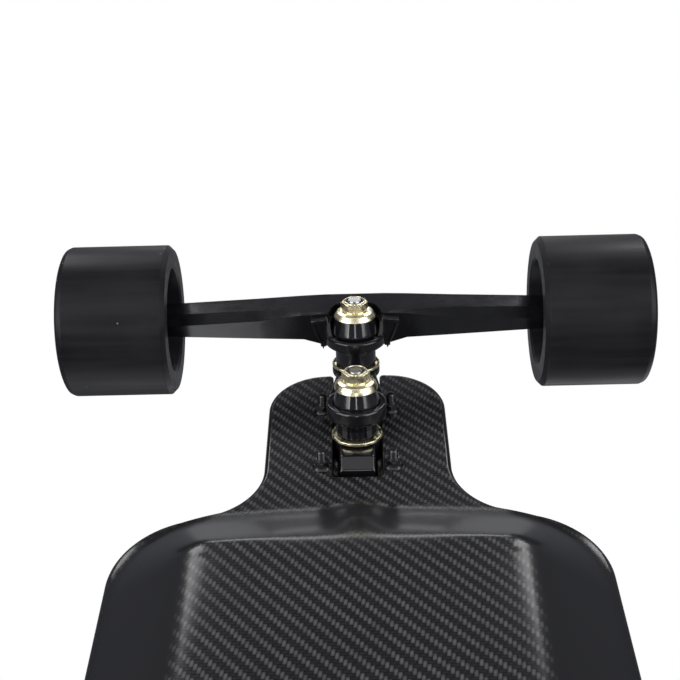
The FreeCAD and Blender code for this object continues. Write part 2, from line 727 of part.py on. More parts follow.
def hanger_bowl(place):
    """Ring with a raised wall; the wall's end is cut on a slope."""
    ring = revolve([(0, RING_2[0]), (16.2, RING_2[0]), (17.4, RING_2[0] + 1.2),
                    (17.4, 32.0), (0, 32.0)], place)
    slope = prism_x([(20, -38.2), (44, -36.2), (56, -45.5), (62, -70), (20, -70)], -40, 40)
    return ring.cut(cylinder(BOWL_R, RING_2[1], 60.0, place)).cut(slope)


def hanger_tips(shape, rear):
    """Front: the beam tapers to its ends. Rear: round ends carry the motor mounts."""
    if rear:
        shape = shape.common(box(-MOUNT_X[1], MOUNT_X[1], 0, 140, -90, 20))
        for tip in both_sides(along_x(8.0, MOUNT_X[1] - 10.0, HANGER_END, AXLE_Y, -AXLE_DROP)):
            shape = shape.fuse(tip)
        return shape
    x_last, last = BEAM_STATIONS[-1]
    for side in (-1, 1):
        start = beam_section(side * x_last, last)
        end = beam_section(side * HANGER_END, last, 0.9)
        shape = shape.fuse(loft([start, end]))
    return shape


def hanger(rear):
    """Outer member: ring on the second kingpin, beam to both wheels, pivot pin."""
    place = on_kingpin(FOOT_2)
    ear = box(12.5, 21.5, 56.5, 66.0, -46.0, -27.5)
    shape = hanger_beam().fuse(ear).fuse(mirrored(ear)).fuse(hanger_bowl(place))
    shape = shape.cut(cylinder(BOWL_R + 1.2, 29.5, 70.0, place))
    shape = shape.cut(cylinder(BOWL_R, RING_2[1], 30.0, place))
    link_room = cylinder(18.5, -10.0, RING_2[0], place).common(box(-40, 40, 20, 90, -34.0, 0))
    shape = shape.cut(link_room)
    pin = pivot_pin(CENTRE_2 + AXIS_2 * 14.0, PIVOT_2)
    shape = shape.fuse(pin.cut(cylinder(16.0, -20.0, RING_2[0], place)))
    shape = shape.cut(cylinder(RING_HOLE_R, 0.0, 60.0, place))
    shape = shape.cut(cylinder(12.9, RING_2[0] - 2.0, RING_2[0] + 0.8, place))
    shape = shape.cut(cylinder(13.8, RING_2[1] - 0.8, RING_2[1] + 1.0, place))
    shape = hanger_tips(shape, rear)
    return one(shape.cut(along_x(AXLE_R, -200, 200, AXLE_Y, -AXLE_DROP)))


# ---- axle and wheels -----------------------------------------------------------
CORE_X = (131.0, 162.0)   # wheel core, from the centre plane
BEARING_R = 11.0
BEARING_W = 7.0
HANGER_END = CORE_X[0] - 1.5
AXLE_END = 171.5
RECESS_R = 32.5           # mouth of the tyre's recesses
CORE_R = 27.5
CORE_HOLES_R = 19.6       # circle of the core's six holes


def axle():
    return along_x(AXLE_R, -AXLE_END, AXLE_END, AXLE_Y, -AXLE_DROP)


def about_wheel(profile):
    """Revolve (radius, x) points about the axle line."""
    points = [V(x, 0, r) for r, x in profile]
    points.append(points[0])
    face = Part.Face(Part.makePolygon(points))
    solid = face.revolve(V(0, 0, 0), V(1, 0, 0), 360)
    solid.translate(V(0, AXLE_Y, -AXLE_DROP))
    return solid


def axle_nuts():
    """Speed rings either side of each wheel and a lock nut outside it."""
    pieces = []
    nut_x = CORE_X[1] + 1.2
    ring_r = 6.0
    for shape in (
        ring_x(AXLE_R, ring_r, HANGER_END, CORE_X[0], AXLE_Y, -AXLE_DROP),
        ring_x(AXLE_R, ring_r, CORE_X[1], nut_x, AXLE_Y, -AXLE_DROP),
        axle_nut(nut_x),
    ):
        pieces += both_sides(shape)
    return pieces


def axle_nut(x0):
    nut = hexagon(13.0, 0, 6.0)
    nut = nut.cut(cylinder(AXLE_R, -1, 9))
    nut.rotate(V(0, 0, 0), V(0, 1, 0), 90)
    nut.translate(V(x0, AXLE_Y, -AXLE_DROP))
    return nut


def tyre():
    """Urethane tyre: square shoulders, deep recesses inside and outside."""
    x0 = WHEEL_IN
    x1 = WHEEL_IN + WHEEL_W
    return about_wheel([
        (WHEEL_R, x0 + 2.8), (WHEEL_R, x1 - 4.2), (WHEEL_R - 1.3, x1 - 1.3), (WHEEL_R - 4.2, x1),
        (RECESS_R + 1.2, x1), (RECESS_R, x1 - 1.2), (RECESS_R - 1.5, x1 - 9.0), (CORE_R, CORE_X[1]),
        (CORE_R, CORE_X[0]), (RECESS_R - 1.5, x0 + 9.0), (RECESS_R, x0 + 1.2), (RECESS_R + 1.2, x0),
        (WHEEL_R - 2.8, x0)])


def core():
    """Moulded core that carries the bearings."""
    x0, x1 = CORE_X
    seat = BEARING_R
    rim = CORE_R - 3.0
    hub = BEARING_R + 4.0
    web = 5.0
    body = about_wheel([
        (CORE_R, x0), (CORE_R, x1), (rim, x1), (rim, x1 - web), (hub, x1 - web), (hub, x1),
        (seat, x1), (seat, x1 - BEARING_W), (9.0, x1 - BEARING_W), (9.0, x0 + BEARING_W),
        (seat, x0 + BEARING_W), (seat, x0), (hub, x0), (hub, x0 + web), (rim, x0 + web), (rim, x0)])
    for y, z in around((AXLE_Y, -AXLE_DROP), CORE_HOLES_R, 6):
        body = body.cut(along_x(3.2, x0 - 1, x1 + 1, y, z))
    return body


def bearings():
    """Two ball bearings as rings, and the spacer between them."""
    x0, x1 = CORE_X
    gap = 0.05
    pieces = []
    for start in (x0, x1 - BEARING_W):
        race = about_wheel([(AXLE_R + gap, start), (BEARING_R, start),
                            (BEARING_R, start + BEARING_W), (AXLE_R + gap, start + BEARING_W)])
        pieces.append(race)
    spacer = ring_x(AXLE_R + gap, 5.0, x0 + BEARING_W, x1 - BEARING_W, AXLE_Y, -AXLE_DROP)
    pieces.append(spacer)
    return pieces


# ---- rear drive ---------------------------------------------------------------
MOUNT_X = (84.0, 90.0)
BELT_X = (95.0, 110.0)
BELT_T = 3.0
PULLEY_R = PULLEY_TEETH * BELT_PITCH / (2 * math.pi)
PINION_R = PINION_TEETH * BELT_PITCH / (2 * math.pi)
MOTOR_YZ = (AXLE_Y + MOTOR_DY, -AXLE_DROP + MOTOR_DZ)
MOTOR_X = (16.0, 77.5)
SHAFT_R = 4.0
FLANGE_H = 3.6            # pulley flanges stand this far above the teeth
FLANGE_T = 1.2
BELT_GAP = 0.5            # between a belt's edge and each flange
AXLE_YZ = (AXLE_Y, -AXLE_DROP)


def toothed(r, teeth, centre):
    """Pulley rim with round-bottomed belt grooves and a flange on each side."""
    x0 = BELT_X[0] - BELT_GAP
    x1 = BELT_X[1] + BELT_GAP
    rim = along_x(r, x0, x1, *centre)
    for y, z in around(centre, r + 0.1, teeth):
        rim = rim.cut(along_x(BELT_PITCH / 4, x0 - 1, x1 + 1, y, z))
    rim = rim.fuse(along_x(r + FLANGE_H, x0 - FLANGE_T, x0, *centre))
    return rim.fuse(along_x(r + FLANGE_H, x1, x1 + FLANGE_T, *centre))


def wheel_pulley():
    """Driven pulley, its hub bolted to the wheel's core."""
    rim = toothed(PULLEY_R, PULLEY_TEETH, AXLE_YZ)
    rim = rim.fuse(along_x(22.0, BELT_X[1], CORE_X[0], *AXLE_YZ))
    rim = rim.cut(along_x(PULLEY_R - 6.0, BELT_X[0] - 3, BELT_X[1] - 4, *AXLE_YZ))
    rim = rim.fuse(along_x(14.0, BELT_X[0], BELT_X[1], *AXLE_YZ))
    for y, z in around(AXLE_YZ, 18.2, 6):
        rim = rim.cut(along_x(1.6, 80, 140, y, z))
    return one(rim.cut(along_x(BEARING_R + 0.4, 80, 140, *AXLE_YZ)))


def drive_pulley():
    rim = toothed(PINION_R, PINION_TEETH, MOTOR_YZ)
    return one(rim.cut(along_x(SHAFT_R, 80, 120, *MOTOR_YZ)))


def drive_belt():
    """Closed loop round both pulleys, just clear of their rims."""
    inside = 0.3
    outside = inside + BELT_T
    outer = belt_loop(PULLEY_R + outside, PINION_R + outside, AXLE_YZ, MOTOR_YZ, *BELT_X)
    inner = belt_loop(PULLEY_R + inside, PINION_R + inside, AXLE_YZ, MOTOR_YZ,
                      BELT_X[0] - 1, BELT_X[1] + 1)
    return outer.cut(inner)


def motor_mount(hanger_shape):
    """Clamp collar on the hanger and a plate that carries the motor's face."""
    collar_r = 19.0
    plate = belt_loop(collar_r, 26.0, AXLE_YZ, MOTOR_YZ, *MOUNT_X)
    plate = plate.fuse(along_x(collar_r, MOUNT_X[0] - 12.0, MOUNT_X[0], *AXLE_YZ))
    plate = plate.cut(along_x(9.0, 60, 100, *MOTOR_YZ))
    plate = plate.cut(hanger_shape).cut(along_x(AXLE_R, 60, 100, *AXLE_YZ))
    for y, z in around(MOTOR_YZ, 19.0, 4, start=45.0):
        plate = plate.cut(along_x(2.1, 60, 100, y, z))
    return one(plate)


def motor_stator():
    """Fixed half of an outrunner: mounting face, bearing tube and windings."""
    x0, x1 = MOTOR_X
    bore_r = SHAFT_R + 0.05
    face = ring_x(bore_r, 27.0, x1 + 1.1, MOUNT_X[0], *MOTOR_YZ)
    tube = ring_x(bore_r, 8.0, x0 + 8, x1 + 1.5, *MOTOR_YZ)
    iron = ring_x(7.5, 26.8, x0 + 14, x1 - 6, *MOTOR_YZ)
    slots = 12
    for k in range(slots):
        slot = box(x0 + 13, x1 - 5, 14.0, 25.0, -1.6, 1.6)
        slot.rotate(V(0, 0, 0), V(1, 0, 0), 360.0 * k / slots)
        slot.translate(V(0, *MOTOR_YZ))
        iron = iron.cut(slot)
    return one(face.fuse(tube).fuse(iron))


def motor_rotor():
    """Turning half: can with magnets' wall, closed end, and shaft to the pulley."""
    x0, x1 = MOTOR_X
    can = ring_x(28.0, MOTOR_R, x0, x1, *MOTOR_YZ)
    end = along_x(MOTOR_R, x0, x0 + 6.0, *MOTOR_YZ)
    for y, z in around(MOTOR_YZ, 18.5, 6):
        end = end.cut(along_x(6.2, x0 - 1, x0 + 7, y, z))
    shaft = along_x(SHAFT_R, x0, BELT_X[1] + 3.0, *MOTOR_YZ)
    body = can.fuse(end).fuse(shaft)
    flat = [e for e in body.Edges if abs(e.BoundBox.XLength) < 1e-6]
    outer = [e for e in flat if e.BoundBox.YLength > 2 * MOTOR_R - 0.01]
    return one(body.makeFillet(1.2, outer))


# ---- assembly -------------------------------------------------------------------
def build_board():
    lift = V(0, SHIFT_Y, UNDERSIDE_Z)
    fixed = {
        "deck_shell": [deck_shell()],
        "deck_lid": [deck_lid()],
        "lid_gasket": [lid_gasket()],
        "lid_screws": lid_screws(),
        "grip_deck": [grip_deck()],
        "grip_lid": [grip_lid()],
        "battery_cells": battery_cells(),
        "battery_holders": battery_holders(),
        "bms_board": [bms_board()],
        "speed_controller": [speed_controller()],
        "receiver": [receiver()],
        "charge_port": [charge_port()],
        "charge_cap": [charge_cap()],
        "button_bezel": [button_bezel()],
        "power_button": [power_button()],
    }
    for name, shapes in fixed.items():
        add(name, [shape.translated(lift) for shape in shapes])


def build_trucks():
    shared = {
        "truck_bolts": truck_bolts(),
        "deck_kingpins": [kingpin_1()],
        "deck_kingpin_hardware": kingpin_hardware(FOOT_1, SEAT_1, 15.0),
        "deck_pivot_cups": [pivot_cup(PIVOT_1, AXIS_1)],
    }
    for name, shapes in shared.items():
        add(name, [place(shape) for place in ENDS.values() for shape in shapes])
    for end, place in ENDS.items():
        pieces = {
            "baseplate": [baseplate()],
            "inner_bushings": bushings_1(),
            "link": [link()],
            "outer_kingpin": [kingpin_2()],
            "outer_kingpin_hardware": kingpin_hardware(FOOT_2, SEAT_2, 14.6),
            "outer_bushings": bushings_2(),
            "outer_pivot_cup": [pivot_cup(PIVOT_2, AXIS_2)],
            "hanger": [hanger(end == "rear")],
            "axle": [axle()],
            "axle_nuts": axle_nuts(),
        }
        for name, shapes in pieces.items():
            add(end + "_" + name, [place(shape) for shape in shapes])


def build_wheels():
    for end, place in ENDS.items():
        for side in ("right", "left"):
            wheel = {"tyre": [tyre()], "core": [core()], "bearings": bearings()}
            outboard_right = (side == "right") == (end == "front")
            for name, shapes in wheel.items():
                chosen = shapes if outboard_right else [mirrored(shape) for shape in shapes]
                add("_".join((end, side, name)), [place(shape) for shape in chosen])


def build_drive():
    """Belt drive on the rear truck; its own frame faces backwards."""
    add("motor_mounts", [at_rear(s) for s in both_sides(motor_mount(hanger(True)))])
    add("motor_stators", [at_rear(s) for s in both_sides(motor_stator())])
    add("drive_belts", [at_rear(s) for s in both_sides(drive_belt())])
    for side in ("left", "right"):
        for name, shape in (("motor_rotor", motor_rotor()), ("drive_pulley", drive_pulley()),
                            ("wheel_pulley", wheel_pulley())):
            chosen = shape if side == "left" else mirrored(shape)
            add(side + "_" + name, [at_rear(chosen)])


def export():
    os.makedirs("parts", exist_ok=True)
    for name, shapes in nodes.items():
        shape = shapes[0] if len(shapes) == 1 else Part.makeCompound(shapes)
        shape.exportStep("parts/" + name + ".step")


build_board()
build_trucks()
build_wheels()
build_drive()
export()
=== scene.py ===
"""Looks of the electric skateboard: meshes, materials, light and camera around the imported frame.

Lengths are in millimetres unless a name says otherwise, and each place matrix turns them
into the frame's metres. Each truck has its own frame, as in the CAD: +Y points outboard,
z = 0 is the deck's underside, and the origin is the centre of the bolt pattern.
"""
import math

import bmesh
import bpy
from mathutils import Matrix, Vector


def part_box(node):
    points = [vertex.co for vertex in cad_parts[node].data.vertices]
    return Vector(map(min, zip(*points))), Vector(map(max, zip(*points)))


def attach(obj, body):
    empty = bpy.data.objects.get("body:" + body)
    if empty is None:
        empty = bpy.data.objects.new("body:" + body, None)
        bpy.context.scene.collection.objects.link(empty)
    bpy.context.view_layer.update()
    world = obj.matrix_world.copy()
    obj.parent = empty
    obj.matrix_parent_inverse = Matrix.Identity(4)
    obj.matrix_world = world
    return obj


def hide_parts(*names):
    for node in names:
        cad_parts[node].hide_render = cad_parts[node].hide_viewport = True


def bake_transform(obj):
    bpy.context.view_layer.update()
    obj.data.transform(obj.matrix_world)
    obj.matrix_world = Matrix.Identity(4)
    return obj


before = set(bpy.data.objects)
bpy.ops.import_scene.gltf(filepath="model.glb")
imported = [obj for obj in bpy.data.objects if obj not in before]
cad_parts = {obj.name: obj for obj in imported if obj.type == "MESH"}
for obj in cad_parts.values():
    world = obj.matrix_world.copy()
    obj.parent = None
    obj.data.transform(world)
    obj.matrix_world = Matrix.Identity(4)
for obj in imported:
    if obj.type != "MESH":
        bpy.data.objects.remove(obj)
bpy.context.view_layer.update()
scene = bpy.context.scene

# ---- driving dimensions, the same as the frame's ---------------------------
MM = 0.001
DECK_T = 9.0
NOSE_Y = 65.0             # deck end outboard of the bolt pattern
BOLT_DX = 41.3
BOLT_DY = 54.0
BOLT_HOLE_R = 2.75
WHEEL_R = 47.0
WHEEL_IN = 113.5
WHEEL_W = 66.5
AXLE_Y = 78.0
AXLE_Z = -36.0
TILT = 9.0                # kingpins lean outboard
FOOT_1 = Vector((0.0, -1.2, -1.5))
FOOT_2 = Vector((0.0, 51.0, -16.2))
KINGPIN_R = 4.75

shell_low, shell_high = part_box("deck_shell")
UNDERSIDE_Z = shell_high.z / MM - DECK_T
MIDDLE_Y = (shell_low.y + shell_high.y) / 2 / MM
BOLT_Y = (shell_high.y - shell_low.y) / 2 / MM - NOSE_Y

SCALE = Matrix.Scale(MM, 4)
DECK_PLACE = SCALE @ Matrix.Translation((0, MIDDLE_Y, UNDERSIDE_Z))
TRUCK_PLACE = {
    "front": DECK_PLACE @ Matrix.Translation((0, BOLT_Y, 0)),
    "rear": DECK_PLACE @ Matrix.Translation((0, -BOLT_Y, 0)) @ Matrix.Rotation(math.pi, 4, "Z"),
}
NO_MOVE = Matrix.Identity(4)


# ---- material graphs -----------------------------------------------------------
class Graph:
    """Short calls that build one material's node graph."""

    def __init__(self, name):
        self.material = bpy.data.materials.new(name)
        self.material.use_nodes = True
        self.tree = self.material.node_tree
        self.shader = self.tree.nodes["Principled BSDF"]

    def put(self, socket, value):
        if isinstance(value, bpy.types.NodeSocket):
            self.tree.links.new(value, socket)
        else:
            socket.default_value = value

    def node(self, kind, *inputs, **settings):
        made = self.tree.nodes.new(kind)
        for name, value in settings.items():
            setattr(made, name, value)
        for k, value in enumerate(inputs):
            if value is not None:
                self.put(made.inputs[k], value)
        return made

    def math(self, operation, *inputs):
        return self.node("ShaderNodeMath", *inputs, operation=operation).outputs[0]

    def place(self, scale=(1, 1, 1)):
        """Position on the piece, stretched along each axis."""
        coords = self.node("ShaderNodeTexCoord").outputs["Object"]
        stretched = self.node("ShaderNodeVectorMath", coords, scale, operation="MULTIPLY")
        return stretched.outputs[0]

    def noise(self, size_mm, detail=2.0, stretch=(1, 1, 1)):
        made = self.node("ShaderNodeTexNoise")
        self.put(made.inputs["Vector"], self.place(stretch))
        self.put(made.inputs["Scale"], 1000.0 / size_mm)
        self.put(made.inputs["Detail"], detail)
        return made.outputs["Fac"]

    def span(self, value, low, high, start=0.0, end=1.0):
        """Map start..end of a value to low..high."""
        made = self.node("ShaderNodeMapRange", value, start, end, low, high)
        return made.outputs[0]

    def mix(self, share, a, b):
        made = self.node("ShaderNodeMix", data_type="RGBA")
        self.put(made.inputs[0], share)
        self.put(made.inputs[6], (*a, 1) if isinstance(a, tuple) else a)
        self.put(made.inputs[7], (*b, 1) if isinstance(b, tuple) else b)
        return made.outputs[2]

    def bump(self, height, depth_mm, strength=1.0):
        made = self.node("ShaderNodeBump")
        self.put(made.inputs["Strength"], strength)
        self.put(made.inputs["Distance"], depth_mm * MM)
        self.put(made.inputs["Height"], height)
        self.put(self.shader.inputs["Normal"], made.outputs[0])

    def set(self, **values):
        for name, value in values.items():
            self.put(self.shader.inputs[name.replace("_", " ")], value)


def surface(name, colour, roughness, metallic=0.0, spread=0.25, patch_mm=14.0, grain_mm=0.6,
            grain_depth=0.02, rough_spread=0.25, coat=0.0, coat_roughness=0.1, stretch=(1, 1, 1)):
    """Finish with soft patches of colour and gloss, and a fine grain."""
    g = Graph(name)
    patches = g.noise(patch_mm, 4.0, stretch)
    fine = g.noise(grain_mm, 3.0, stretch)
    both = g.math("ADD", g.math("MULTIPLY", patches, 0.7), g.math("MULTIPLY", fine, 0.3))
    dark = tuple(c * (1 - spread) for c in colour)
    light = tuple(min(1.0, c * (1 + spread)) for c in colour)
    low = max(0.02, roughness * (1 - rough_spread))
    high = min(1.0, roughness * (1 + rough_spread))
    g.set(Base_Color=g.mix(g.span(both, 0, 1, 0.3, 0.7), dark, light), Metallic=metallic,
          Roughness=g.span(both, low, high, 0.3, 0.7))
    g.set(Coat_Weight=coat, Coat_Roughness=coat_roughness)
    g.bump(fine, grain_depth)
    return g.material


# tows across and along the board: cycles per metre, skewed a little as laid by hand
WARP_ACROSS = (-474.0, -55.0, 0.0)
WEFT_ALONG = (6.0, 483.0, 0.0)


def twill():
    """Two-by-two carbon twill under satin lacquer: a tow floats over two and under two.

    The base colour carries painted light: warp tows are painted lighter than weft tows as
    painted reflection, and each float is painted lighter towards its crown as a painted
    highlight. The weave fades to plain lacquer on the sloping walls of the tub by their
    slope, where the lacquer's reflection hides it.
    """
    g = Graph("carbon_twill")
    coords = g.node("ShaderNodeTexCoord").outputs["Object"]
    u, v = [g.node("ShaderNodeVectorMath", coords, tows, operation="DOT_PRODUCT").outputs["Value"]
            for tows in (WARP_ACROSS, WEFT_ALONG)]
    u_cell = g.math("FLOOR", u)
    v_cell = g.math("FLOOR", v)
    turn = g.math("FLOORED_MODULO", g.math("ADD", u_cell, v_cell), 4.0)
    warp = g.math("LESS_THAN", turn, 1.5)
    along_warp = g.math("MULTIPLY", g.math("FLOORED_MODULO", g.math("ADD", u_cell, v), 4.0), 0.5)
    along_weft = g.math("FLOORED_MODULO", g.math("ADD", u, v_cell), 4.0)
    along_weft = g.math("MULTIPLY_ADD", along_weft, 0.5, -1.0)
    across_warp = g.math("SUBTRACT", u, u_cell)
    across_weft = g.math("SUBTRACT", v, v_cell)
    along = g.node("ShaderNodeMix", warp, None, along_weft, along_warp).outputs[0]
    across = g.node("ShaderNodeMix", warp, None, across_weft, across_warp).outputs[0]

    def hump(t):
        """0 at both ends of 0 to 1 and 1 in the middle."""
        return g.math("MULTIPLY", g.math("MULTIPLY", t, g.math("SUBTRACT", 1.0, t)), 4.0)

    crown = hump(across)
    rise = hump(along)
    height = g.math("MULTIPLY", crown, g.span(rise, 0.30, 1.0))
    # painted highlight: each float is painted lighter towards its crown, varied per tow and in broad
    # clouds
    tow = g.node("ShaderNodeTexWhiteNoise", noise_dimensions="2D")
    ids = g.node("ShaderNodeCombineXYZ", u_cell, v_cell, 0.0).outputs[0]
    g.put(tow.inputs["Vector"], ids)
    clouds = g.noise(60.0, 3.0)
    painted_float_highlight = g.math("MULTIPLY", g.math("POWER", height, 1.15), g.span(tow.outputs["Value"], 0.7, 1.2))
    painted_float_highlight = g.math("MULTIPLY", painted_float_highlight, g.span(clouds, 0.85, 1.15, 0.3, 0.7))
    # painted reflection: warp tows are painted lighter than weft tows, standing for their different
    # reflection; both carry the painted highlight
    light = g.mix(painted_float_highlight, (0.008, 0.008, 0.0088), (0.088, 0.086, 0.089))
    dark = g.mix(painted_float_highlight, (0.002, 0.002, 0.0024), (0.012, 0.012, 0.0135))
    facing = g.node("ShaderNodeTexCoord").outputs["Normal"]
    upright = g.node("ShaderNodeSeparateXYZ", facing).outputs["Z"]
    level = g.math("ABSOLUTE", upright)
    # the weave's painted colour and its bump fade out by slope on the tub's walls, where the
    # lacquer's reflection hides the weave
    shown = g.span(level, 0.0, 1.0, 0.935, 0.998)
    g.set(Base_Color=g.mix(shown, (0.0095, 0.0095, 0.011), g.mix(warp, dark, light)))
    g.set(Roughness=0.5, Metallic=0.0, Specular_IOR_Level=0.06)
    g.set(Coat_Weight=0.8, Coat_Roughness=0.19, Coat_IOR=1.5)
    g.bump(g.math("MULTIPLY", height, shown), 0.05, 0.5)
    return g.material


def wheel_urethane():
    """Satin black urethane with a few specks and moulding streaks round the tread in its gloss;
    the streaks also lighten the base colour, which is painted reflection.
    """
    g = Graph("wheel_urethane")
    streak_and_sheen = g.noise(5.0, 4.0, stretch=(0.05, 1, 1))
    cloud = g.noise(38.0, 3.0)
    speck = g.node("ShaderNodeTexVoronoi")
    g.put(speck.inputs["Vector"], g.place())
    g.put(speck.inputs["Scale"], 62.0)
    dots = g.math("LESS_THAN", speck.outputs["Distance"], 0.035)
    both = g.math("ADD", g.math("MULTIPLY", streak_and_sheen, 0.55), g.math("MULTIPLY", cloud, 0.45))
    # painted reflection: besides varying the gloss, the streaks lighten the base colour, standing
    # for the tread's soft reflection streaks
    base = g.mix(g.span(both, 0, 1, 0.35, 0.65), (0.004, 0.004, 0.005), (0.012, 0.012, 0.0145))
    g.set(Base_Color=g.mix(g.math("MULTIPLY", dots, 0.5), base, (0.25, 0.26, 0.28)))
    g.set(Roughness=g.span(both, 0.34, 0.50, 0.35, 0.65), Specular_IOR_Level=0.2)
    g.bump(g.noise(1.2, 3.0, stretch=(0.15, 1, 1)), 0.02)
    return g.material


def grip_coat():
    """Black grip: coarse grit in a matt binder, patches of wear, and painted glints:
    random lighter flecks in the base colour.
    """
    g = Graph("grip")
    grit = g.node("ShaderNodeTexVoronoi", feature="F1")
    g.put(grit.inputs["Vector"], g.place())
    g.put(grit.inputs["Scale"], 1500.0)
    grains = g.math("SUBTRACT", 1.0, grit.outputs["Distance"])
    wear = g.noise(90.0, 4.0)
    # painted glints: random lighter flecks in the base colour stand for the grit's sparkle
    painted_glint = g.math("GREATER_THAN", g.noise(1.1, 1.0), 0.68)
    base = g.mix(g.span(wear, 0, 1, 0.35, 0.7), (0.008, 0.008, 0.008), (0.02, 0.02, 0.021))
    g.set(Base_Color=g.mix(g.math("MULTIPLY", painted_glint, 0.35), base, (0.10, 0.10, 0.105)),
          Roughness=g.span(grains, 0.65, 0.95))
    g.bump(grains, 0.30, 0.8)
    return g.material


FINISH = {
    "carbon": twill(),
    "grip": grip_coat(),
    "wheel_urethane": wheel_urethane(),
    "bushing": surface("gloss_urethane", (0.006, 0.006, 0.0075), 0.13, spread=0.2,
                       rough_spread=0.35, grain_mm=2.5, grain_depth=0.01, coat=0.5,
                       coat_roughness=0.06),
    "pivot_urethane": surface("pivot_urethane", (0.014, 0.014, 0.015), 0.3),
    "truck_black": surface("forged_black", (0.006, 0.006, 0.007), 0.19, spread=0.3, patch_mm=9.0,
                           grain_mm=0.5, grain_depth=0.006, coat=0.25, coat_roughness=0.12),
    "gold": surface("gold_plate", (1.0, 0.89, 0.60), 0.26, metallic=1.0, spread=0.05,
                    patch_mm=3.0, grain_mm=0.5, grain_depth=0.006, rough_spread=0.4),
    "black_steel": surface("black_oxide_steel", (0.005, 0.005, 0.006), 0.20, spread=0.4,
                           patch_mm=2.5, grain_mm=0.3, grain_depth=0.006, coat=0.4,
                           coat_roughness=0.07),
    "bright_steel": surface("ground_steel", (0.38, 0.38, 0.39), 0.24, metallic=1.0, spread=0.12,
                            patch_mm=3.0, grain_mm=0.25, grain_depth=0.006, stretch=(3, 1, 1)),
    "nylon": surface("nylon_insert", (0.05, 0.05, 0.055), 0.35, spread=0.2, patch_mm=2.0),
    "wheel_core": surface("moulded_core", (0.020, 0.020, 0.022), 0.42, grain_mm=0.4),
    "seal": surface("silicone_seal", (0.016, 0.016, 0.016), 0.55),
    "black_plastic": surface("moulded_plastic", (0.014, 0.014, 0.015), 0.42, grain_mm=0.35,
                             grain_depth=0.03),
    "cap_rubber": surface("soft_rubber", (0.013, 0.013, 0.013), 0.62, grain_mm=0.8,
                          grain_depth=0.03),
    "cell_can": surface("cell_wrap", (0.03, 0.12, 0.20), 0.38, spread=0.1),
    "holder": surface("cell_holder", (0.02, 0.02, 0.02), 0.5),
    "circuit": surface("circuit_board", (0.015, 0.10, 0.04), 0.4, patch_mm=3.0, spread=0.5),
    "controller_case": surface("controller_case", (0.035, 0.035, 0.038), 0.36, metallic=0.8),
    "anodised_black": surface("anodised_black", (0.022, 0.022, 0.024), 0.33, metallic=0.7,
                              spread=0.2, patch_mm=6.0, grain_mm=0.2, grain_depth=0.012),
    "motor_can": surface("motor_can", (0.030, 0.030, 0.033), 0.26, metallic=0.8, spread=0.25,
                         patch_mm=10.0, grain_mm=0.3, grain_depth=0.008, stretch=(0.2, 1, 1)),
    "winding": surface("copper_winding", (0.62, 0.27, 0.12), 0.35, metallic=0.9, spread=0.35,
                       patch_mm=2.0, grain_mm=0.4, grain_depth=0.05),
    "pulley": surface("machined_pulley", (0.42, 0.42, 0.43), 0.3, metallic=1.0, spread=0.15,
                      patch_mm=4.0, grain_mm=0.2, grain_depth=0.008),
    "belt": surface("belt_rubber", (0.013, 0.013, 0.013), 0.6, grain_mm=0.5, grain_depth=0.04),
}


# ---- mesh building ---------------------------------------------------------------
def corner_rounded(points, steps=4):
    """Closed outline of (radius, height, rounding) points, each corner replaced by a short curve."""
    out = []
    count = len(points)
    for k, (a, b, rounding) in enumerate(points):
        here = Vector((a, b))
        if rounding == 0:
            out.append((a, b))
            continue
        back = Vector(points[k - 1][:2]) - here
        on = Vector(points[(k + 1) % count][:2]) - here
        half = back.angle(on) / 2
        reach = rounding / math.tan(half)
        reach = min(reach, 0.48 * back.length, 0.48 * on.length)
        start = here + back.normalized() * reach
        end = here + on.normalized() * reach
        for i in range(steps + 1):
            t = i / steps
            p = start * (1 - t) ** 2 + here * 2 * t * (1 - t) + end * t * t
            out.append((p.x, p.y))
    return out


class Shape:
    """Vertices and faces gathered from several solids that make one piece."""

    def __init__(self):
        self.verts = []
        self.faces = []

    def add(self, verts, faces, place):
        base = len(self.verts)
        self.verts += [place @ Vector(v) for v in verts]
        self.faces += [[base + i for i in face] for face in faces]

    def turned(self, outline, place, turns=96, steps=4):
        """Solid of revolution of (radius, height, rounding) points about the local Z axis."""
        points = corner_rounded(outline, steps=steps)
        n = len(points)
        verts = []
        faces = []
        for k in range(turns):
            angle = 2 * math.pi * k / turns
            verts += [(r * math.cos(angle), r * math.sin(angle), h) for r, h in points]
            following = (k + 1) % turns
            for i in range(n):
                j = (i + 1) % n
                faces.append((k * n + i, following * n + i, following * n + j, k * n + j))
        self.add(verts, faces, place)

    def hex_nut(self, flats, hole, h0, h1, place, turns=96):
        """Hexagon with its corners turned to a 30 degree cone, which meets the flats in arcs."""
        verts = []
        faces = []
        land = flats / 2 - 0.15
        rings = 8
        for k in range(turns):
            angle = 2 * math.pi * k / turns
            from_flat = (angle + math.pi / 6) % (math.pi / 3) - math.pi / 6
            reach = flats / 2 / math.cos(from_flat)
            cut = (reach - land) * math.tan(math.radians(30))
            inner = hole + 0.35
            column = [(hole, h0 + 0.35), (inner, h0), (land, h0), (reach, h0 + cut),
                      (reach, h1 - cut), (land, h1), (inner, h1), (hole, h1 - 0.35)]
            verts += [(r * math.cos(angle), r * math.sin(angle), h) for r, h in column]
            following = (k + 1) % turns
            for i in range(rings):
                j = (i + 1) % rings
                faces.append((k * rings + i, following * rings + i,
                              following * rings + j, k * rings + j))
        self.add(verts, faces, place)


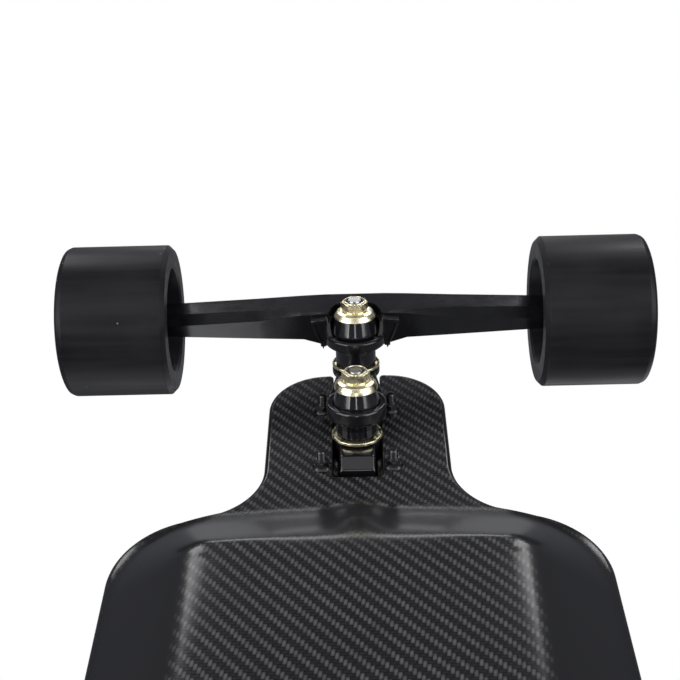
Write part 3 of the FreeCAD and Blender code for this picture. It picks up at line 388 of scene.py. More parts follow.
def tidy_mesh(mesh, merge_mm=0.002):
    """Weld, drop flat slivers and turn every face outwards."""
    bm = bmesh.new()
    bm.from_mesh(mesh)
    bmesh.ops.remove_doubles(bm, verts=bm.verts, dist=merge_mm * MM)
    bmesh.ops.dissolve_degenerate(bm, edges=bm.edges, dist=1e-7)
    bmesh.ops.recalc_face_normals(bm, faces=bm.faces)
    bm.to_mesh(mesh)
    bm.free()


def settle(obj, body, finish, replaced, sharp=40.0):
    """Shade, paint and attach a finished piece."""
    mesh = obj.data
    mesh.shade_smooth()
    if sharp:
        mesh.set_sharp_from_angle(angle=math.radians(sharp))
        mod = obj.modifiers.new("even_normals", "WEIGHTED_NORMAL")
        mod.keep_sharp = True
    mesh.materials.clear()
    mesh.materials.append(FINISH[finish])
    if body:
        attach(obj, body)
    if replaced:
        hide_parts(*replaced)
    return obj


def make(name, shape, place, body, slot, replaced=(), finish=None, sharp=40.0):
    """One piece from gathered solids in millimetres."""
    mesh = bpy.data.meshes.new(name)
    mesh.from_pydata([place @ v for v in shape.verts], [], shape.faces)
    tidy_mesh(mesh)
    obj = bpy.data.objects.new(name, mesh)
    scene.collection.objects.link(obj)
    return settle(obj, body, finish or slot, replaced, sharp)


def applied(obj):
    """Apply the object's modifiers to its mesh."""
    graph = bpy.context.evaluated_depsgraph_get()
    graph.update()
    done = bpy.data.meshes.new_from_object(obj.evaluated_get(graph))
    obj.modifiers.clear()
    obj.data = done


def copy_of(node, name):
    obj = bpy.data.objects.new(name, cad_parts[node].data.copy())
    scene.collection.objects.link(obj)
    tidy_mesh(obj.data)
    return obj


def forged(node, body, slot, voxel, passes):
    """CAD shape with its edges rounded off all over, as a forging's are."""
    obj = copy_of(node, node + "_forging")
    remesh = obj.modifiers.new("remesh", "REMESH")
    remesh.mode = "VOXEL"
    remesh.voxel_size = voxel * MM
    smooth = obj.modifiers.new("smooth", "SMOOTH")
    smooth.factor = 0.5
    smooth.iterations = passes
    thin = obj.modifiers.new("thin", "DECIMATE")
    thin.ratio = 0.35
    applied(obj)
    settle(obj, body, slot, [node], sharp=0)


def broken_edges(node, body, slot, width, flatness=0.5, crease=35.0):
    """CAD shape with a small rounding on every edge that turns by more than the crease angle.

    Faces that lie within the flatness angle of each other are joined first.
    """
    obj = copy_of(node, node + "_finished")
    flat = obj.modifiers.new("flat", "DECIMATE")
    flat.decimate_type = "DISSOLVE"
    flat.angle_limit = math.radians(flatness)
    bevel = obj.modifiers.new("bevel", "BEVEL")
    bevel.width = width * MM
    bevel.segments = 2
    bevel.limit_method = "ANGLE"
    bevel.angle_limit = math.radians(crease)
    applied(obj)
    settle(obj, body, slot, [node], sharp=crease + 5)


def painted(node, finish):
    """Give a CAD node its material."""
    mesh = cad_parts[node].data
    mesh.materials.clear()
    mesh.materials.append(FINISH[finish])


# ---- deck shell --------------------------------------------------------------
NECK_HALF = 54.0
DECK_HALF = 132.0
NOSE_R = 35.0
SHOULDER_R = 50.0
SHOULDER_Y = -118.0
WAIST_R = 40.0
WAIST_Y = -27.0
SLOT_HALF = 14.5
SLOT_END_Y = -36.0
MOUTH_R = 4.5
RIM_R = 3.0
SLOT_EDGE_R = 0.8
TUB_DEPTH = 28.0
TUB_HALF = 87.0           # tub's lower edge
TUB_CORNER_R = 11.0
TUB_FRONT_Y = -114.0      # tub's front edge on the centre line, from the bolt pattern
SIDE_WALL = 42.0          # widths of the walls in plan
FRONT_WALL = 64.0
FRONT_BOW = 0.0006        # the front edge bows back towards the tub's corners
SIDE_EDGE = 4.0           # softness of the tub's lower edge
FRONT_EDGE = 2.0
SADDLE_RISE = 3.0         # low ridge down the middle of the front wall
SADDLE_HALF = 13.0
FLAT_Y = -48.0            # the neck is flat outboard of this


def arc_points(centre, r, start, end, step):
    """Points on an arc, angles in degrees."""
    count = max(2, int(abs(math.radians(end - start)) * r / step))
    points = []
    for k in range(count + 1):
        angle = math.radians(start + (end - start) * k / count)
        points.append(Vector((centre[0] + r * math.cos(angle), centre[1] + r * math.sin(angle))))
    return points


def line_points(start, end, step):
    start, end = Vector(start), Vector(end)
    count = max(1, int((end - start).length / step))
    return [start.lerp(end, k / count) for k in range(count + 1)]


def quarter_contour():
    """Right front quarter in plan, from the slot's end round the nose to midship."""
    nose = BOLT_Y + NOSE_Y
    slot_end = BOLT_Y + SLOT_END_Y
    waist = Vector((NECK_HALF + WAIST_R, BOLT_Y + WAIST_Y))
    shoulder = Vector((DECK_HALF - SHOULDER_R, BOLT_Y + SHOULDER_Y))
    between = shoulder - waist
    turn = math.degrees(math.acos((WAIST_R + SHOULDER_R) / between.length))
    toward = math.degrees(math.atan2(between.y, between.x)) - turn
    heading = Vector((math.cos(math.radians(toward)), math.sin(math.radians(toward))))
    leave = waist + WAIST_R * heading
    join = shoulder - SHOULDER_R * heading
    inner_r = 2.0
    mouth_y = nose - MOUTH_R
    parts = [
        line_points((0, slot_end), (SLOT_HALF - inner_r, slot_end), 4),
        arc_points((SLOT_HALF - inner_r, slot_end + inner_r), inner_r, -90, 0, 0.6),
        line_points((SLOT_HALF, slot_end + inner_r), (SLOT_HALF, mouth_y), 6),
        arc_points((SLOT_HALF + MOUTH_R, mouth_y), MOUTH_R, 180, 90, 1.0),
        arc_points((NECK_HALF - NOSE_R, nose - NOSE_R), NOSE_R, 90, 0, 1.6),
        line_points((NECK_HALF, nose - NOSE_R), (NECK_HALF, waist.y), 5),
        arc_points(waist, WAIST_R, 180, 360 + toward, 1.5),
        line_points(leave, join, 2.0),
        arc_points(shoulder, SHOULDER_R, toward + 180, 0, 1.4),
        line_points((DECK_HALF, shoulder.y), (DECK_HALF, shoulder.y - 24), 1.5),
        line_points((DECK_HALF, shoulder.y - 24), (DECK_HALF, 0), 12),
    ]
    points = [parts[0][0]]
    for part in parts:
        points += [p for p in part if (p - points[-1]).length > 0.05]
    return points


def smooth_step(t):
    t = min(max(t, 0.0), 1.0)
    return t * t * (3 - 2 * t)


def tub_depth(x, y):
    """Depth of the underside below the neck's plane; x and y are from midship."""
    x, y = abs(x), abs(y)
    front_y = BOLT_Y + TUB_FRONT_Y - FRONT_BOW * x * x
    side = x - TUB_HALF + TUB_CORNER_R
    ahead = y - front_y + TUB_CORNER_R
    outside = math.hypot(max(side, 0.0), max(ahead, 0.0))
    away = outside + min(max(side, ahead), 0.0) - TUB_CORNER_R
    if outside == 0:
        frontal = 1.0 if ahead > side else 0.0
    else:
        frontal = smooth_step(math.atan2(max(ahead, 0.0), max(side, 0.0)) / (math.pi / 2))
    centre = math.exp(-(x / 48.0) ** 4)
    soft = SIDE_EDGE + frontal * (FRONT_EDGE - SIDE_EDGE + 4.0 * centre)
    if away / soft < 30:
        away = soft * math.log1p(math.exp(away / soft))
    t = min(away / (SIDE_WALL + frontal * (FRONT_WALL - SIDE_WALL)), 1.0)
    straight = 0.985 - 0.455 * frontal       # share of the wall before it curves into the neck
    steep = 2.0 / (1.0 + straight)
    if t < straight:
        fall = 1 - steep * t
    else:
        fall = steep * (1 - t) ** 2 / (2 * (1 - straight))
    ridge = SADDLE_RISE * math.exp(-(x / SADDLE_HALF) ** 2) * frontal * math.sin(math.pi * t) ** 2
    return TUB_DEPTH * fall + ridge


def columns():
    """Half of the columns across the tub, close together near its edge."""
    across = [3.5 * k for k in range(21)]
    across += [73.5 + 1.35 * k for k in range(1, 21)]
    across += [100.5 + 3.5 * k for k in range(1, 9)]
    return across


def deck_mesh():
    """Whole shell: underside with its tub, rounded rim, slots, top, lid recess and cavity."""
    bm = bmesh.new()

    def vert(x, y, z):
        return bm.verts.new(DECK_PLACE @ Vector((x, y, z)))

    def band(a, b, closed=True):
        last = len(a) if closed else len(a) - 1
        for k in range(last):
            m = (k + 1) % len(a)
            bm.faces.new((a[k], a[m], b[m], b[k]))

    def fill(*loops):
        edges = set()
        for ring in loops:
            for k in range(len(ring)):
                pair = (ring[k], ring[(k + 1) % len(ring)])
                edges.add(bm.edges.get(pair) or bm.edges.new(pair))
        bmesh.ops.triangle_fill(bm, use_beauty=True, use_dissolve=False, edges=list(edges))

    def ring_at(points, z):
        return [vert(p[0], p[1], z) for p in points]

    def circle(x, y, r, count=24):
        angles = [2 * math.pi * k / count for k in range(count)]
        return [(x + r * math.cos(a), y + r * math.sin(a)) for a in angles]

    quarter = quarter_contour()
    m = len(quarter)
    rf = [(p.x, p.y) for p in quarter]
    contour = rf + [(x, -y) for x, y in rf[-2::-1]]
    contour += [(-x, -y) for x, y in rf[1:]] + [(-x, y) for x, y in rf[-2:0:-1]]
    total = len(contour)
    normals = []
    for k in range(total):
        before = Vector(contour[k - 1])
        after = Vector(contour[(k + 1) % total])
        tangent = (after - before).normalized()
        normals.append(Vector((-tangent.y, tangent.x)))
    edge_r = []
    for x, y in contour:
        in_slot = abs(x) <= SLOT_HALF + 0.01
        share = 0.0 if in_slot else smooth_step((abs(x) - SLOT_HALF) / MOUTH_R)
        edge_r.append(SLOT_EDGE_R + (RIM_R - SLOT_EDGE_R) * share)

    def rim_ring(phi, top):
        ring = []
        for (x, y), n, r in zip(contour, normals, edge_r):
            inset = r * (1 - math.sin(phi))
            rise = r * (1 - math.cos(phi))
            z = DECK_T - rise if top else rise
            ring.append(vert(x - n.x * inset, y - n.y * inset, z))
        return ring

    steps = [math.pi / 2 * k / 5 for k in range(6)]
    lower = [rim_ring(phi, False) for phi in steps]
    upper = [rim_ring(phi, True) for phi in steps[::-1]]
    rings = lower + upper
    for a, b in zip(rings, rings[1:]):
        band(a, b)
    inner = lower[0]
    top_rim = upper[-1]

    # underside: rows across the tub, from one flat neck to the other
    flat_y = BOLT_Y + FLAT_Y
    first = next(k for k in range(m) if quarter[k].x > NECK_HALF + 1 and quarter[k].y < flat_y)
    pairs = [(inner[k], inner[total - k]) for k in range(first, m)]
    pairs += [(inner[2 * (m - 1) - k], inner[2 * (m - 1) + k]) for k in range(m - 2, first - 1, -1)]
    half = columns()
    place_back = DECK_PLACE.inverted()
    rows = []
    kept_x = 40.0
    for right, left in pairs:
        end = place_back @ right.co
        squeeze = (end.x - kept_x) / (half[-1] - kept_x)
        xs = [x if x <= kept_x else kept_x + (x - kept_x) * squeeze for x in half[:-1]]
        row = [left]
        for x in [-x for x in xs[:0:-1]] + xs:
            row.append(vert(x, end.y, -tub_depth(x, end.y)))
        row.append(right)
        rows.append(row)
    for a, b in zip(rows, rows[1:]):
        band(a, b, closed=False)

    # flat necks, with the bolts' holes
    holes = []
    for sign, row in ((1, rows[0]), (-1, rows[-1])):
        if sign == 1:
            rim = [inner[k % total] for k in range(first - 1, first - 2 * first, -1)]
        else:
            start = 2 * (m - 1) - first
            rim = [inner[k] for k in range(start + 1, 2 * (m - 1) + first)]
        low = []
        for sx in (-1, 1):
            for sy in (-1, 1):
                points = circle(sx * BOLT_DX / 2, sign * BOLT_Y + sy * BOLT_DY / 2, BOLT_HOLE_R)
                ring = ring_at(points, 0)
                high = ring_at(points, DECK_T)
                band(ring, high)
                low.append(ring)
                holes.append(high)
        fill(row + rim, *low)

    # top, lid recess and cavity
    lid_low, lid_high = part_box("deck_lid")
    gap = 0.3
    lid_half = lid_high.x / MM + gap
    lid_y = (lid_low.y / MM - MIDDLE_Y - gap, lid_high.y / MM - MIDDLE_Y + gap)
    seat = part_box("lid_gasket")[0].z / MM - UNDERSIDE_Z
    lid_r = 12.0 + gap
    recess = []
    corner_x, corner_y0, corner_y1 = lid_half - lid_r, lid_y[0] + lid_r, lid_y[1] - lid_r
    for cx, cy, start in ((corner_x, corner_y1, 0), (-corner_x, corner_y1, 90),
                          (-corner_x, corner_y0, 180), (corner_x, corner_y0, 270)):
        recess += [(p.x, p.y) for p in arc_points((cx, cy), lid_r, start, start + 90, 2.0)]
    mouth = ring_at(recess, DECK_T)
    ledge = ring_at(recess, seat)
    band(mouth, ledge)
    cav_x, cav_y0, cav_y1 = 80.0, -300.0, 300.0
    open_y0 = -244.0                    # the cavity runs on under the deck behind the opening
    floor, roof = -TUB_DEPTH + 4.0, 4.0
    opening = ring_at([(cav_x, cav_y1), (-cav_x, cav_y1), (-cav_x, open_y0), (cav_x, open_y0)],
                      seat)
    fill(ledge, opening)
    base = ring_at([(cav_x, cav_y1), (-cav_x, cav_y1), (-cav_x, cav_y0), (cav_x, cav_y0)], floor)
    inside = ring_at([(-cav_x, open_y0), (cav_x, open_y0), (cav_x, cav_y0), (-cav_x, cav_y0)],
                     roof)
    bm.faces.new(base)
    bm.faces.new((opening[0], opening[1], base[1], base[0]))
    bm.faces.new((opening[2], opening[3], inside[1], inside[0]))
    bm.faces.new((base[2], base[3], inside[2], inside[3]))
    bm.faces.new((opening[1], opening[2], inside[0], inside[3], base[2], base[1]))
    bm.faces.new((opening[3], opening[0], base[0], base[3], inside[2], inside[1]))
    under = []
    for node, r in (("charge_port", 11.0), ("button_bezel", 9.0)):
        low_corner, high_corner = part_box(node)
        x = (low_corner.x + high_corner.x) / 2 / MM
        y = (low_corner.y + high_corner.y) / 2 / MM - MIDDLE_Y
        high = ring_at(circle(x, y, r, 48), DECK_T)
        low = ring_at(circle(x, y, r, 48), roof)
        band(high, low)
        holes.append(high)
        under.append(low)
    fill(inside, *under)
    fill(top_rim, mouth, *holes)
    bmesh.ops.recalc_face_normals(bm, faces=bm.faces)
    mesh = bpy.data.meshes.new("deck_moulding")
    bm.to_mesh(mesh)
    bm.free()
    return mesh


def deck():
    obj = bpy.data.objects.new("deck_moulding", deck_mesh())
    scene.collection.objects.link(obj)
    settle(obj, "board", "carbon", ["deck_shell"], sharp=35.0)
    broken_edges("deck_lid", "board", "carbon", 0.5)
    for node, slot in (("grip_deck", "grip"), ("grip_lid", "grip")):
        broken_edges(node, "board", slot, 0.35)
    for node, slot in (("lid_screws", "black_steel"), ("lid_gasket", "seal")):
        painted(node, slot)
    for node, slot, body in (("charge_port", "black_plastic", "board"),
                             ("button_bezel", "black_plastic", "board"),
                             ("charge_cap", "cap_rubber", "cap"),
                             ("power_button", "black_plastic", "button")):
        broken_edges(node, body, slot, 0.35)
    for node, slot in (("battery_cells", "cell_can"), ("battery_holders", "holder"),
                       ("bms_board", "circuit"), ("speed_controller", "controller_case"),
                       ("receiver", "black_plastic")):
        painted(node, slot)


# ---- trucks ----------------------------------------------------------------------
def on_kingpin(foot):
    """Local +Z runs down the kingpin from its foot."""
    return Matrix.Translation(foot) @ Matrix.Rotation(math.radians(180 + TILT), 4, "X")


KINGPIN_1 = on_kingpin(FOOT_1)
KINGPIN_2 = on_kingpin(FOOT_2)
AXLE_CENTRE = Matrix.Translation((0, AXLE_Y, AXLE_Z))
AXLE_RIGHT = AXLE_CENTRE @ Matrix.Rotation(math.pi / 2, 4, "Y")     # local +Z runs along +X
AXLE_LEFT = AXLE_CENTRE @ Matrix.Rotation(-math.pi / 2, 4, "Y")     # local +Z runs along -X
# heights along the kingpins, from the foot, where the lower cup washer sits
HEAD_1 = -11.0
TIP_1 = 43.9
TIP_2 = 44.6
SEAT_1 = (34.2, 37.7)     # deep cup washer: its seat on the bushing and its top
SEAT_2 = (35.2, 38.0)
NUT_FLATS = 14.3
NUT_H = 5.4               # top of the hexagon and of the collar, above the washer
COLLAR_H = 6.3


def threaded(r, start, end, pitch, depth=0.5):
    """Outline of a thread's roots and crests between two heights."""
    points = []
    turns = int((end - start) / pitch)
    for k in range(turns):
        h = start + k * pitch
        points += [(r - depth, h, 0), (r, h + pitch * 0.4, 0.08), (r, h + pitch * 0.6, 0.08)]
    points.append((r - depth, start + turns * pitch, 0))
    return points


def add_kingpin(shape, start, tip, place):
    """Kingpin from start to tip, threaded over its last 9 mm."""
    outline = [(0, start, 0), (KINGPIN_R, start, 0.2)]
    outline += threaded(KINGPIN_R, tip - 9.0, tip - 0.7, 1.0)
    outline += [(KINGPIN_R - 0.9, tip, 0.1), (0, tip, 0)]
    shape.turned(outline, place, 48, 2)


def add_cup_washers(shape, place, seats, low_r):
    """Thin cup at the foot and deep cup over the end of the outer bushing."""
    hole = KINGPIN_R + 0.05
    seat, top = seats
    thin_cup = [
        (hole, 0.6, 0.2), (low_r - 0.9, 0.6, 0.5), (low_r, 1.4, 0.6), (low_r, 2.8, 0.5),
        (low_r - 0.6, 3.3, 0.4), (low_r - 1.2, 2.8, 0.3), (low_r - 1.2, 2.0, 0.3),
        (hole, 2.0, 0.2)]
    deep_cup = [
        (hole, seat, 0.2), (11.3, seat, 0.3), (11.3, seat - 1.4, 0.3), (12.0, seat - 1.85, 0.4),
        (12.9, seat - 1.2, 0.4), (12.3, top - 2.8, 1.4), (10.9, top - 0.9, 1.6),
        (8.9, top, 1.0), (hole, top, 0.2)]
    shape.turned(thin_cup, place)
    shape.turned(deep_cup, place)


def add_kingpin_nut(shape, place, h0):
    """Washer face, hexagon with two flats facing along the board, and thin collar."""
    hole = KINGPIN_R + 0.05
    hexagon_top, collar_top = h0 + NUT_H, h0 + COLLAR_H
    face = [(hole, h0, 0.1), (7.6, h0, 0.2), (7.6, h0 + 0.7, 0.2), (hole, h0 + 0.7, 0.1)]
    collar = [(6.0, hexagon_top - 0.1, 0), (6.7, hexagon_top - 0.1, 0),
              (6.6, collar_top - 0.4, 0.4), (6.0, collar_top, 0.3), (5.75, collar_top - 0.4, 0.2)]
    shape.turned(face, place)
    turned_place = place @ Matrix.Rotation(math.radians(30), 4, "Z")
    shape.hex_nut(NUT_FLATS, hole, h0 + 0.6, hexagon_top, turned_place)
    shape.turned(collar, place)


def add_nylon_ring(shape, place, h0):
    """Insert between a kingpin and its nut's collar."""
    foot, top = h0 + NUT_H - 1.0, h0 + COLLAR_H
    outline = [(KINGPIN_R, foot, 0), (5.95, foot, 0), (5.95, top - 0.5, 0.2),
               (5.3, top - 0.2, 0.2), (KINGPIN_R, top - 0.4, 0.1)]
    shape.turned(outline, place, 64)


def deck_hardware():
    """What the deck carries at both ends: inner kingpins, their washers and nuts, truck bolts."""
    pins, plated, inserts, bolts = Shape(), Shape(), Shape(), Shape()
    for place in TRUCK_PLACE.values():
        at = place @ KINGPIN_1
        add_kingpin(pins, HEAD_1, TIP_1, at)
        pins.hex_nut(NUT_FLATS, 0.4, HEAD_1 - 5.0, HEAD_1, at)
        add_cup_washers(plated, at, SEAT_1, 15.0)
        add_kingpin_nut(plated, at, SEAT_1[1])
        add_nylon_ring(inserts, at, SEAT_1[1])
        for sx in (-1, 1):
            for sy in (-1, 1):
                spot = place @ Matrix.Translation((sx * BOLT_DX / 2, sy * BOLT_DY / 2, 0))
                add_truck_bolt(bolts, spot)
    make("inner_kingpins", pins, NO_MOVE, "board", "bright_steel", ["deck_kingpins"])
    make("inner_kingpin_plating", plated, NO_MOVE, "board", "gold", ["deck_kingpin_hardware"])
    make("inner_nut_inserts", inserts, NO_MOVE, "board", "gold", finish="nylon")
    make("truck_bolt_set", bolts, NO_MOVE, "board", "black_steel", ["truck_bolts"], sharp=30.0)


def add_truck_bolt(shape, spot):
    """Button-head bolt with its threaded end, flanged lock nut and collar."""
    plate_top = DECK_T + 6.0
    bolt = [(0, -12.0, 0), (1.9, -12.0, 0.2)]
    bolt += [(r, -h, 0) for r, h, _ in threaded(2.5, 5.9, 11.6, 0.8, 0.4)[::-1]]
    bolt += [(2.4, -5.0, 0), (2.5, plate_top, 0.1), (4.7, plate_top, 0.2),
             (4.4, plate_top + 1.6, 0.8), (3.2, plate_top + 2.6, 0.8),
             (1.6, plate_top + 2.7, 0.1), (1.5, plate_top + 1.2, 0.1), (0, plate_top + 1.2, 0)]
    flange = [(2.45, 0.02, 0), (5.6, 0.02, 0.2), (5.55, 0.9, 0.4), (4.2, 1.9, 0.3), (2.45, 1.9, 0)]
    collar = [(2.45, 5.3, 0), (3.65, 5.3, 0.1), (3.5, 6.4, 0.4), (2.9, 6.6, 0.2), (2.45, 6.2, 0)]
    down = spot @ Matrix.Rotation(math.pi, 4, "X")
    shape.turned(bolt, spot, 32, 2)
    shape.turned(flange, down, 48, 3)
    shape.hex_nut(8.0, 2.5, 1.5, 5.4, down, turns=48)
    shape.turned(collar, down, 32, 3)


# each bushing's kingpin, and its wall as (height, radius, rounding)
BUSHINGS = {
    "inner_low": (KINGPIN_1, [(2.0, 11.8, 0.6), (3.2, 12.2, 1.0), (9.0, 12.0, 4.0),
                              (15.8, 12.6, 0.5)]),
    "inner_high": (KINGPIN_1, [(22.5, 13.45, 0.5), (25.0, 13.45, 0.9), (33.2, 11.1, 0.5),
                               (34.15, 11.0, 0.3)]),
    "outer_low": (KINGPIN_2, [(2.0, 12.0, 0.6), (3.2, 12.3, 1.0), (12.0, 12.3, 3.0),
                              (16.6, 12.75, 0.5)]),
    "outer_high": (KINGPIN_2, [(21.7, 13.4, 0.5), (24.5, 14.1, 2.5), (33.2, 12.0, 1.2),
                               (35.1, 11.1, 0.3)]),
}
BUSHING_STEP = 1.2        # longest step up the wall


def bushing(end, kind):
    """One urethane bushing between its washer and the ring that squeezes it."""
    place, wall = BUSHINGS[kind]
    hole = KINGPIN_R + 0.12
    low, high = wall[0][0], wall[-1][0]
    outline = [(hole, low, 0.2)]
    outline += [(r, h, rounding) for h, r, rounding in wall]
    outline += [(hole, high, 0.2)]
    shape = Shape()
    dense = corner_rounded(outline)
    fine = []
    for k, (r, h) in enumerate(dense):
        r2, h2 = dense[(k + 1) % len(dense)]
        count = max(1, int(abs(h2 - h) / BUSHING_STEP))
        fine += [(r + (r2 - r) * i / count, h + (h2 - h) * i / count, 0) for i in range(count)]
    shape.turned(fine, place, 96)
    inner = kind.startswith("inner")
    node = end + ("_inner_bushings" if inner else "_outer_bushings")
    obj = make(end + "_" + kind + "_bushing", shape, TRUCK_PLACE[end], None, "bushing", [node])
    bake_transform(obj)


def outer_hardware(end):
    """What the link carries: outer kingpin, its washers, nut and insert."""
    place = TRUCK_PLACE[end]
    body = end + "_link_body"
    stud, plated, insert = Shape(), Shape(), Shape()
    add_kingpin(stud, -4.0, TIP_2, KINGPIN_2)
    add_cup_washers(plated, KINGPIN_2, SEAT_2, 14.6)
    add_kingpin_nut(plated, KINGPIN_2, SEAT_2[1])
    add_nylon_ring(insert, KINGPIN_2, SEAT_2[1])
    make(end + "_kingpin_stud", stud, place, body, "bright_steel", [end + "_outer_kingpin"])
    make(end + "_kingpin_plating", plated, place, body, "gold", [end + "_outer_kingpin_hardware"])
    make(end + "_nut_insert", insert, place, body, "gold", finish="nylon")


EAR_Y = (54.0, 62.0)      # outer face and foot of the ears
EAR_CORNERS = [(17.2, -48.6), (27.0, -47.4), (24.2, -38.0), (19.8, -27.0), (16.6, -37.0)]
EAR_LIP = 0.34            # how far the dish's rim lies from the corners towards the middle
EAR_DISH = 1.6


def ring_collar(end):
    """Machined band round the hanger's ring, and the dished ears beside its bowl."""
    shape = Shape()
    collar = [(15.6, 16.2, 0.2), (17.0, 15.9, 0.6), (18.3, 17.0, 1.2), (18.3, 22.2, 1.2),
              (17.0, 23.2, 0.7), (15.6, 23.0, 0.2)]
    shape.turned(collar, KINGPIN_2)
    for side in (-1, 1):
        ear = [Vector((side * x, EAR_Y[0], z)) for x, z in EAR_CORNERS]
        back = [p + Vector((0, EAR_Y[1] - EAR_Y[0], 0)) for p in ear]
        middle = sum(ear, Vector()) / len(ear)
        lip = [p.lerp(middle, EAR_LIP) for p in ear]
        dish = [p + Vector((0, EAR_DISH, 0)) for p in lip]
        count = len(ear)
        faces = []
        for k in range(count):
            j = (k + 1) % count
            for ring in range(3):
                faces.append((ring * count + k, ring * count + j, (ring + 1) * count + j,
                              (ring + 1) * count + k))
        faces.append(tuple(range(count)))
        faces.append(tuple(range(3 * count, 4 * count)))
        shape.add(back + ear + lip + dish, faces, NO_MOVE)
    band = make(end + "_ring_collar", shape, TRUCK_PLACE[end], end + "_hanger_body",
                "truck_black", sharp=50)
    rounding = band.modifiers.new("rounding", "BEVEL")
    rounding.width = 0.3 * MM
    rounding.segments = 2
    rounding.limit_method = "ANGLE"
    rounding.angle_limit = math.radians(40)
    applied(band)


def axle_hardware(end):
    """Speed rings and lock nuts on both ends of the axle."""
    shape = Shape()
    for at in (AXLE_LEFT @ Matrix.Rotation(math.pi, 4, "Z"), AXLE_RIGHT):
        for start, stop in ((129.5, 131.0), (162.0, 163.2)):
            ring = [(4.02, start, 0.1), (6.0, start, 0.2), (6.0, stop, 0.2), (4.02, stop, 0.1)]
            shape.turned(ring, at, 48)
        shape.hex_nut(13.0, 4.0, 163.2, 169.2, at, turns=72)
    make(end + "_axle_nut_set", shape, TRUCK_PLACE[end], end + "_hanger_body", "bright_steel",
         [end + "_axle_nuts"])


def trucks():
    deck_hardware()
    painted("deck_pivot_cups", "pivot_urethane")
    for end in TRUCK_PLACE:
        forged(end + "_baseplate", "board", "truck_black", 0.6, 4)
        forged(end + "_link", end + "_link_body", "truck_black", 0.5, 5)
        broken_edges(end + "_hanger", end + "_hanger_body", "truck_black", 0.4, 0.02, 20.0)
        ring_collar(end)
        for kind in BUSHINGS:
            bushing(end, kind)
        outer_hardware(end)
        axle_hardware(end)
        painted(end + "_outer_pivot_cup", "pivot_urethane")
        painted(end + "_axle", "bright_steel")


# ---- wheels -------------------------------------------------------------------
CORE_X = (131.0, 162.0)
CORE_R = 27.5
RECESS_R = 32.5
BEARING_W = 7.0


def tyre_outline():
    x0, x1 = WHEEL_IN, WHEEL_IN + WHEEL_W
    return [
        (WHEEL_R, x0 + 2.8, 0.7), (WHEEL_R, x1 - 4.2, 3.0), (WHEEL_R - 1.3, x1 - 1.3, 2.5),
        (WHEEL_R - 4.2, x1, 2.5), (RECESS_R + 1.2, x1, 0.5), (RECESS_R, x1 - 1.2, 0.6),
        (RECESS_R - 1.5, x1 - 9.0, 1.5), (CORE_R, CORE_X[1], 0), (CORE_R, CORE_X[0], 0),
        (RECESS_R - 1.5, x0 + 9.0, 1.5), (RECESS_R, x0 + 1.2, 0.6), (RECESS_R + 1.2, x0, 0.5),
        (WHEEL_R - 2.8, x0, 0.5)]


def bearing_outline(x0, x1):
    """Bearing with a sunk shield between its races."""
    shield0, shield1 = x0 + 0.5, x1 - 0.5
    return [(4.06, x0, 0.2), (6.2, x0, 0.1), (6.4, shield0, 0.1), (9.0, shield0, 0.1),
            (9.2, x0, 0.1), (10.95, x0, 0.2), (10.95, x1, 0.2), (9.2, x1, 0.1),
            (9.0, shield1, 0.1), (6.4, shield1, 0.1), (6.2, x1, 0.1), (4.06, x1, 0.2)]


def wheels():
    for end, place in TRUCK_PLACE.items():
        for side in ("left", "right"):
            body = end + "_" + side + "_wheel"
            on_right = (side == "right") == (end == "front")    # the rear truck is turned round
            spot = AXLE_RIGHT if on_right else AXLE_LEFT
            rubber = Shape()
            rubber.turned(tyre_outline(), spot, 160)
            node = end + "_" + side
            make(node + "_wheel_tyre", rubber, place, body, "wheel_urethane",
                 [node + "_tyre"], sharp=50.0)
            broken_edges(node + "_core", body, "wheel_core", 0.5)
            races = Shape()
            low, high = CORE_X[0] + BEARING_W, CORE_X[1] - BEARING_W
            races.turned(bearing_outline(CORE_X[0], low), spot, 64, 2)
            races.turned(bearing_outline(high, high + BEARING_W), spot, 64, 2)
            spacer = [(4.06, low, 0), (5.0, low, 0), (5.0, high, 0), (4.06, high, 0)]
            races.turned(spacer, spot, 32)
            make(node + "_bearing_pair", races, place, body, "bright_steel", [node + "_bearings"])


# ---- rear drive -------------------------------------------------------------------
def drive():
    hanger = "rear_hanger_body"
    broken_edges("motor_mounts", hanger, "anodised_black", 0.6)
    painted("motor_stators", "winding")
    painted("drive_belts", "belt")
    for side in ("left", "right"):
        broken_edges(side + "_motor_rotor", side + "_motor", "motor_can", 0.4)
        painted(side + "_drive_pulley", "pulley")
        painted(side + "_wheel_pulley", "pulley")


# ---- stage, light and camera -----------------------------------------------------
def stage():
    """Pale floor, clear when seen from below, that nothing on the board reflects."""
    mesh = bpy.data.meshes.new("floor")
    size = 6.0
    corners = [(-size, -size, 0), (size, -size, 0), (size, size, 0), (-size, size, 0)]
    mesh.from_pydata(corners, [], [(0, 1, 2, 3)])
    floor = bpy.data.objects.new("floor", mesh)
    scene.collection.objects.link(floor)
    g = Graph("pale_floor")
    g.set(Base_Color=(0.30, 0.30, 0.31, 1), Roughness=1.0, Specular_IOR_Level=0.0)
    g.set(Emission_Color=(0.94, 0.95, 0.96, 1), Emission_Strength=0.78)
    clear = g.node("ShaderNodeBsdfTransparent")
    seen_below = g.node("ShaderNodeNewGeometry").outputs["Backfacing"]
    either = g.node("ShaderNodeMixShader", seen_below, g.shader.outputs[0], clear.outputs[0])
    g.put(g.tree.nodes["Material Output"].inputs[0], either.outputs[0])
    mesh.materials.append(g.material)
    floor.visible_shadow = False
    floor.visible_glossy = False
    floor.visible_diffuse = False
    floor.visible_transmission = False


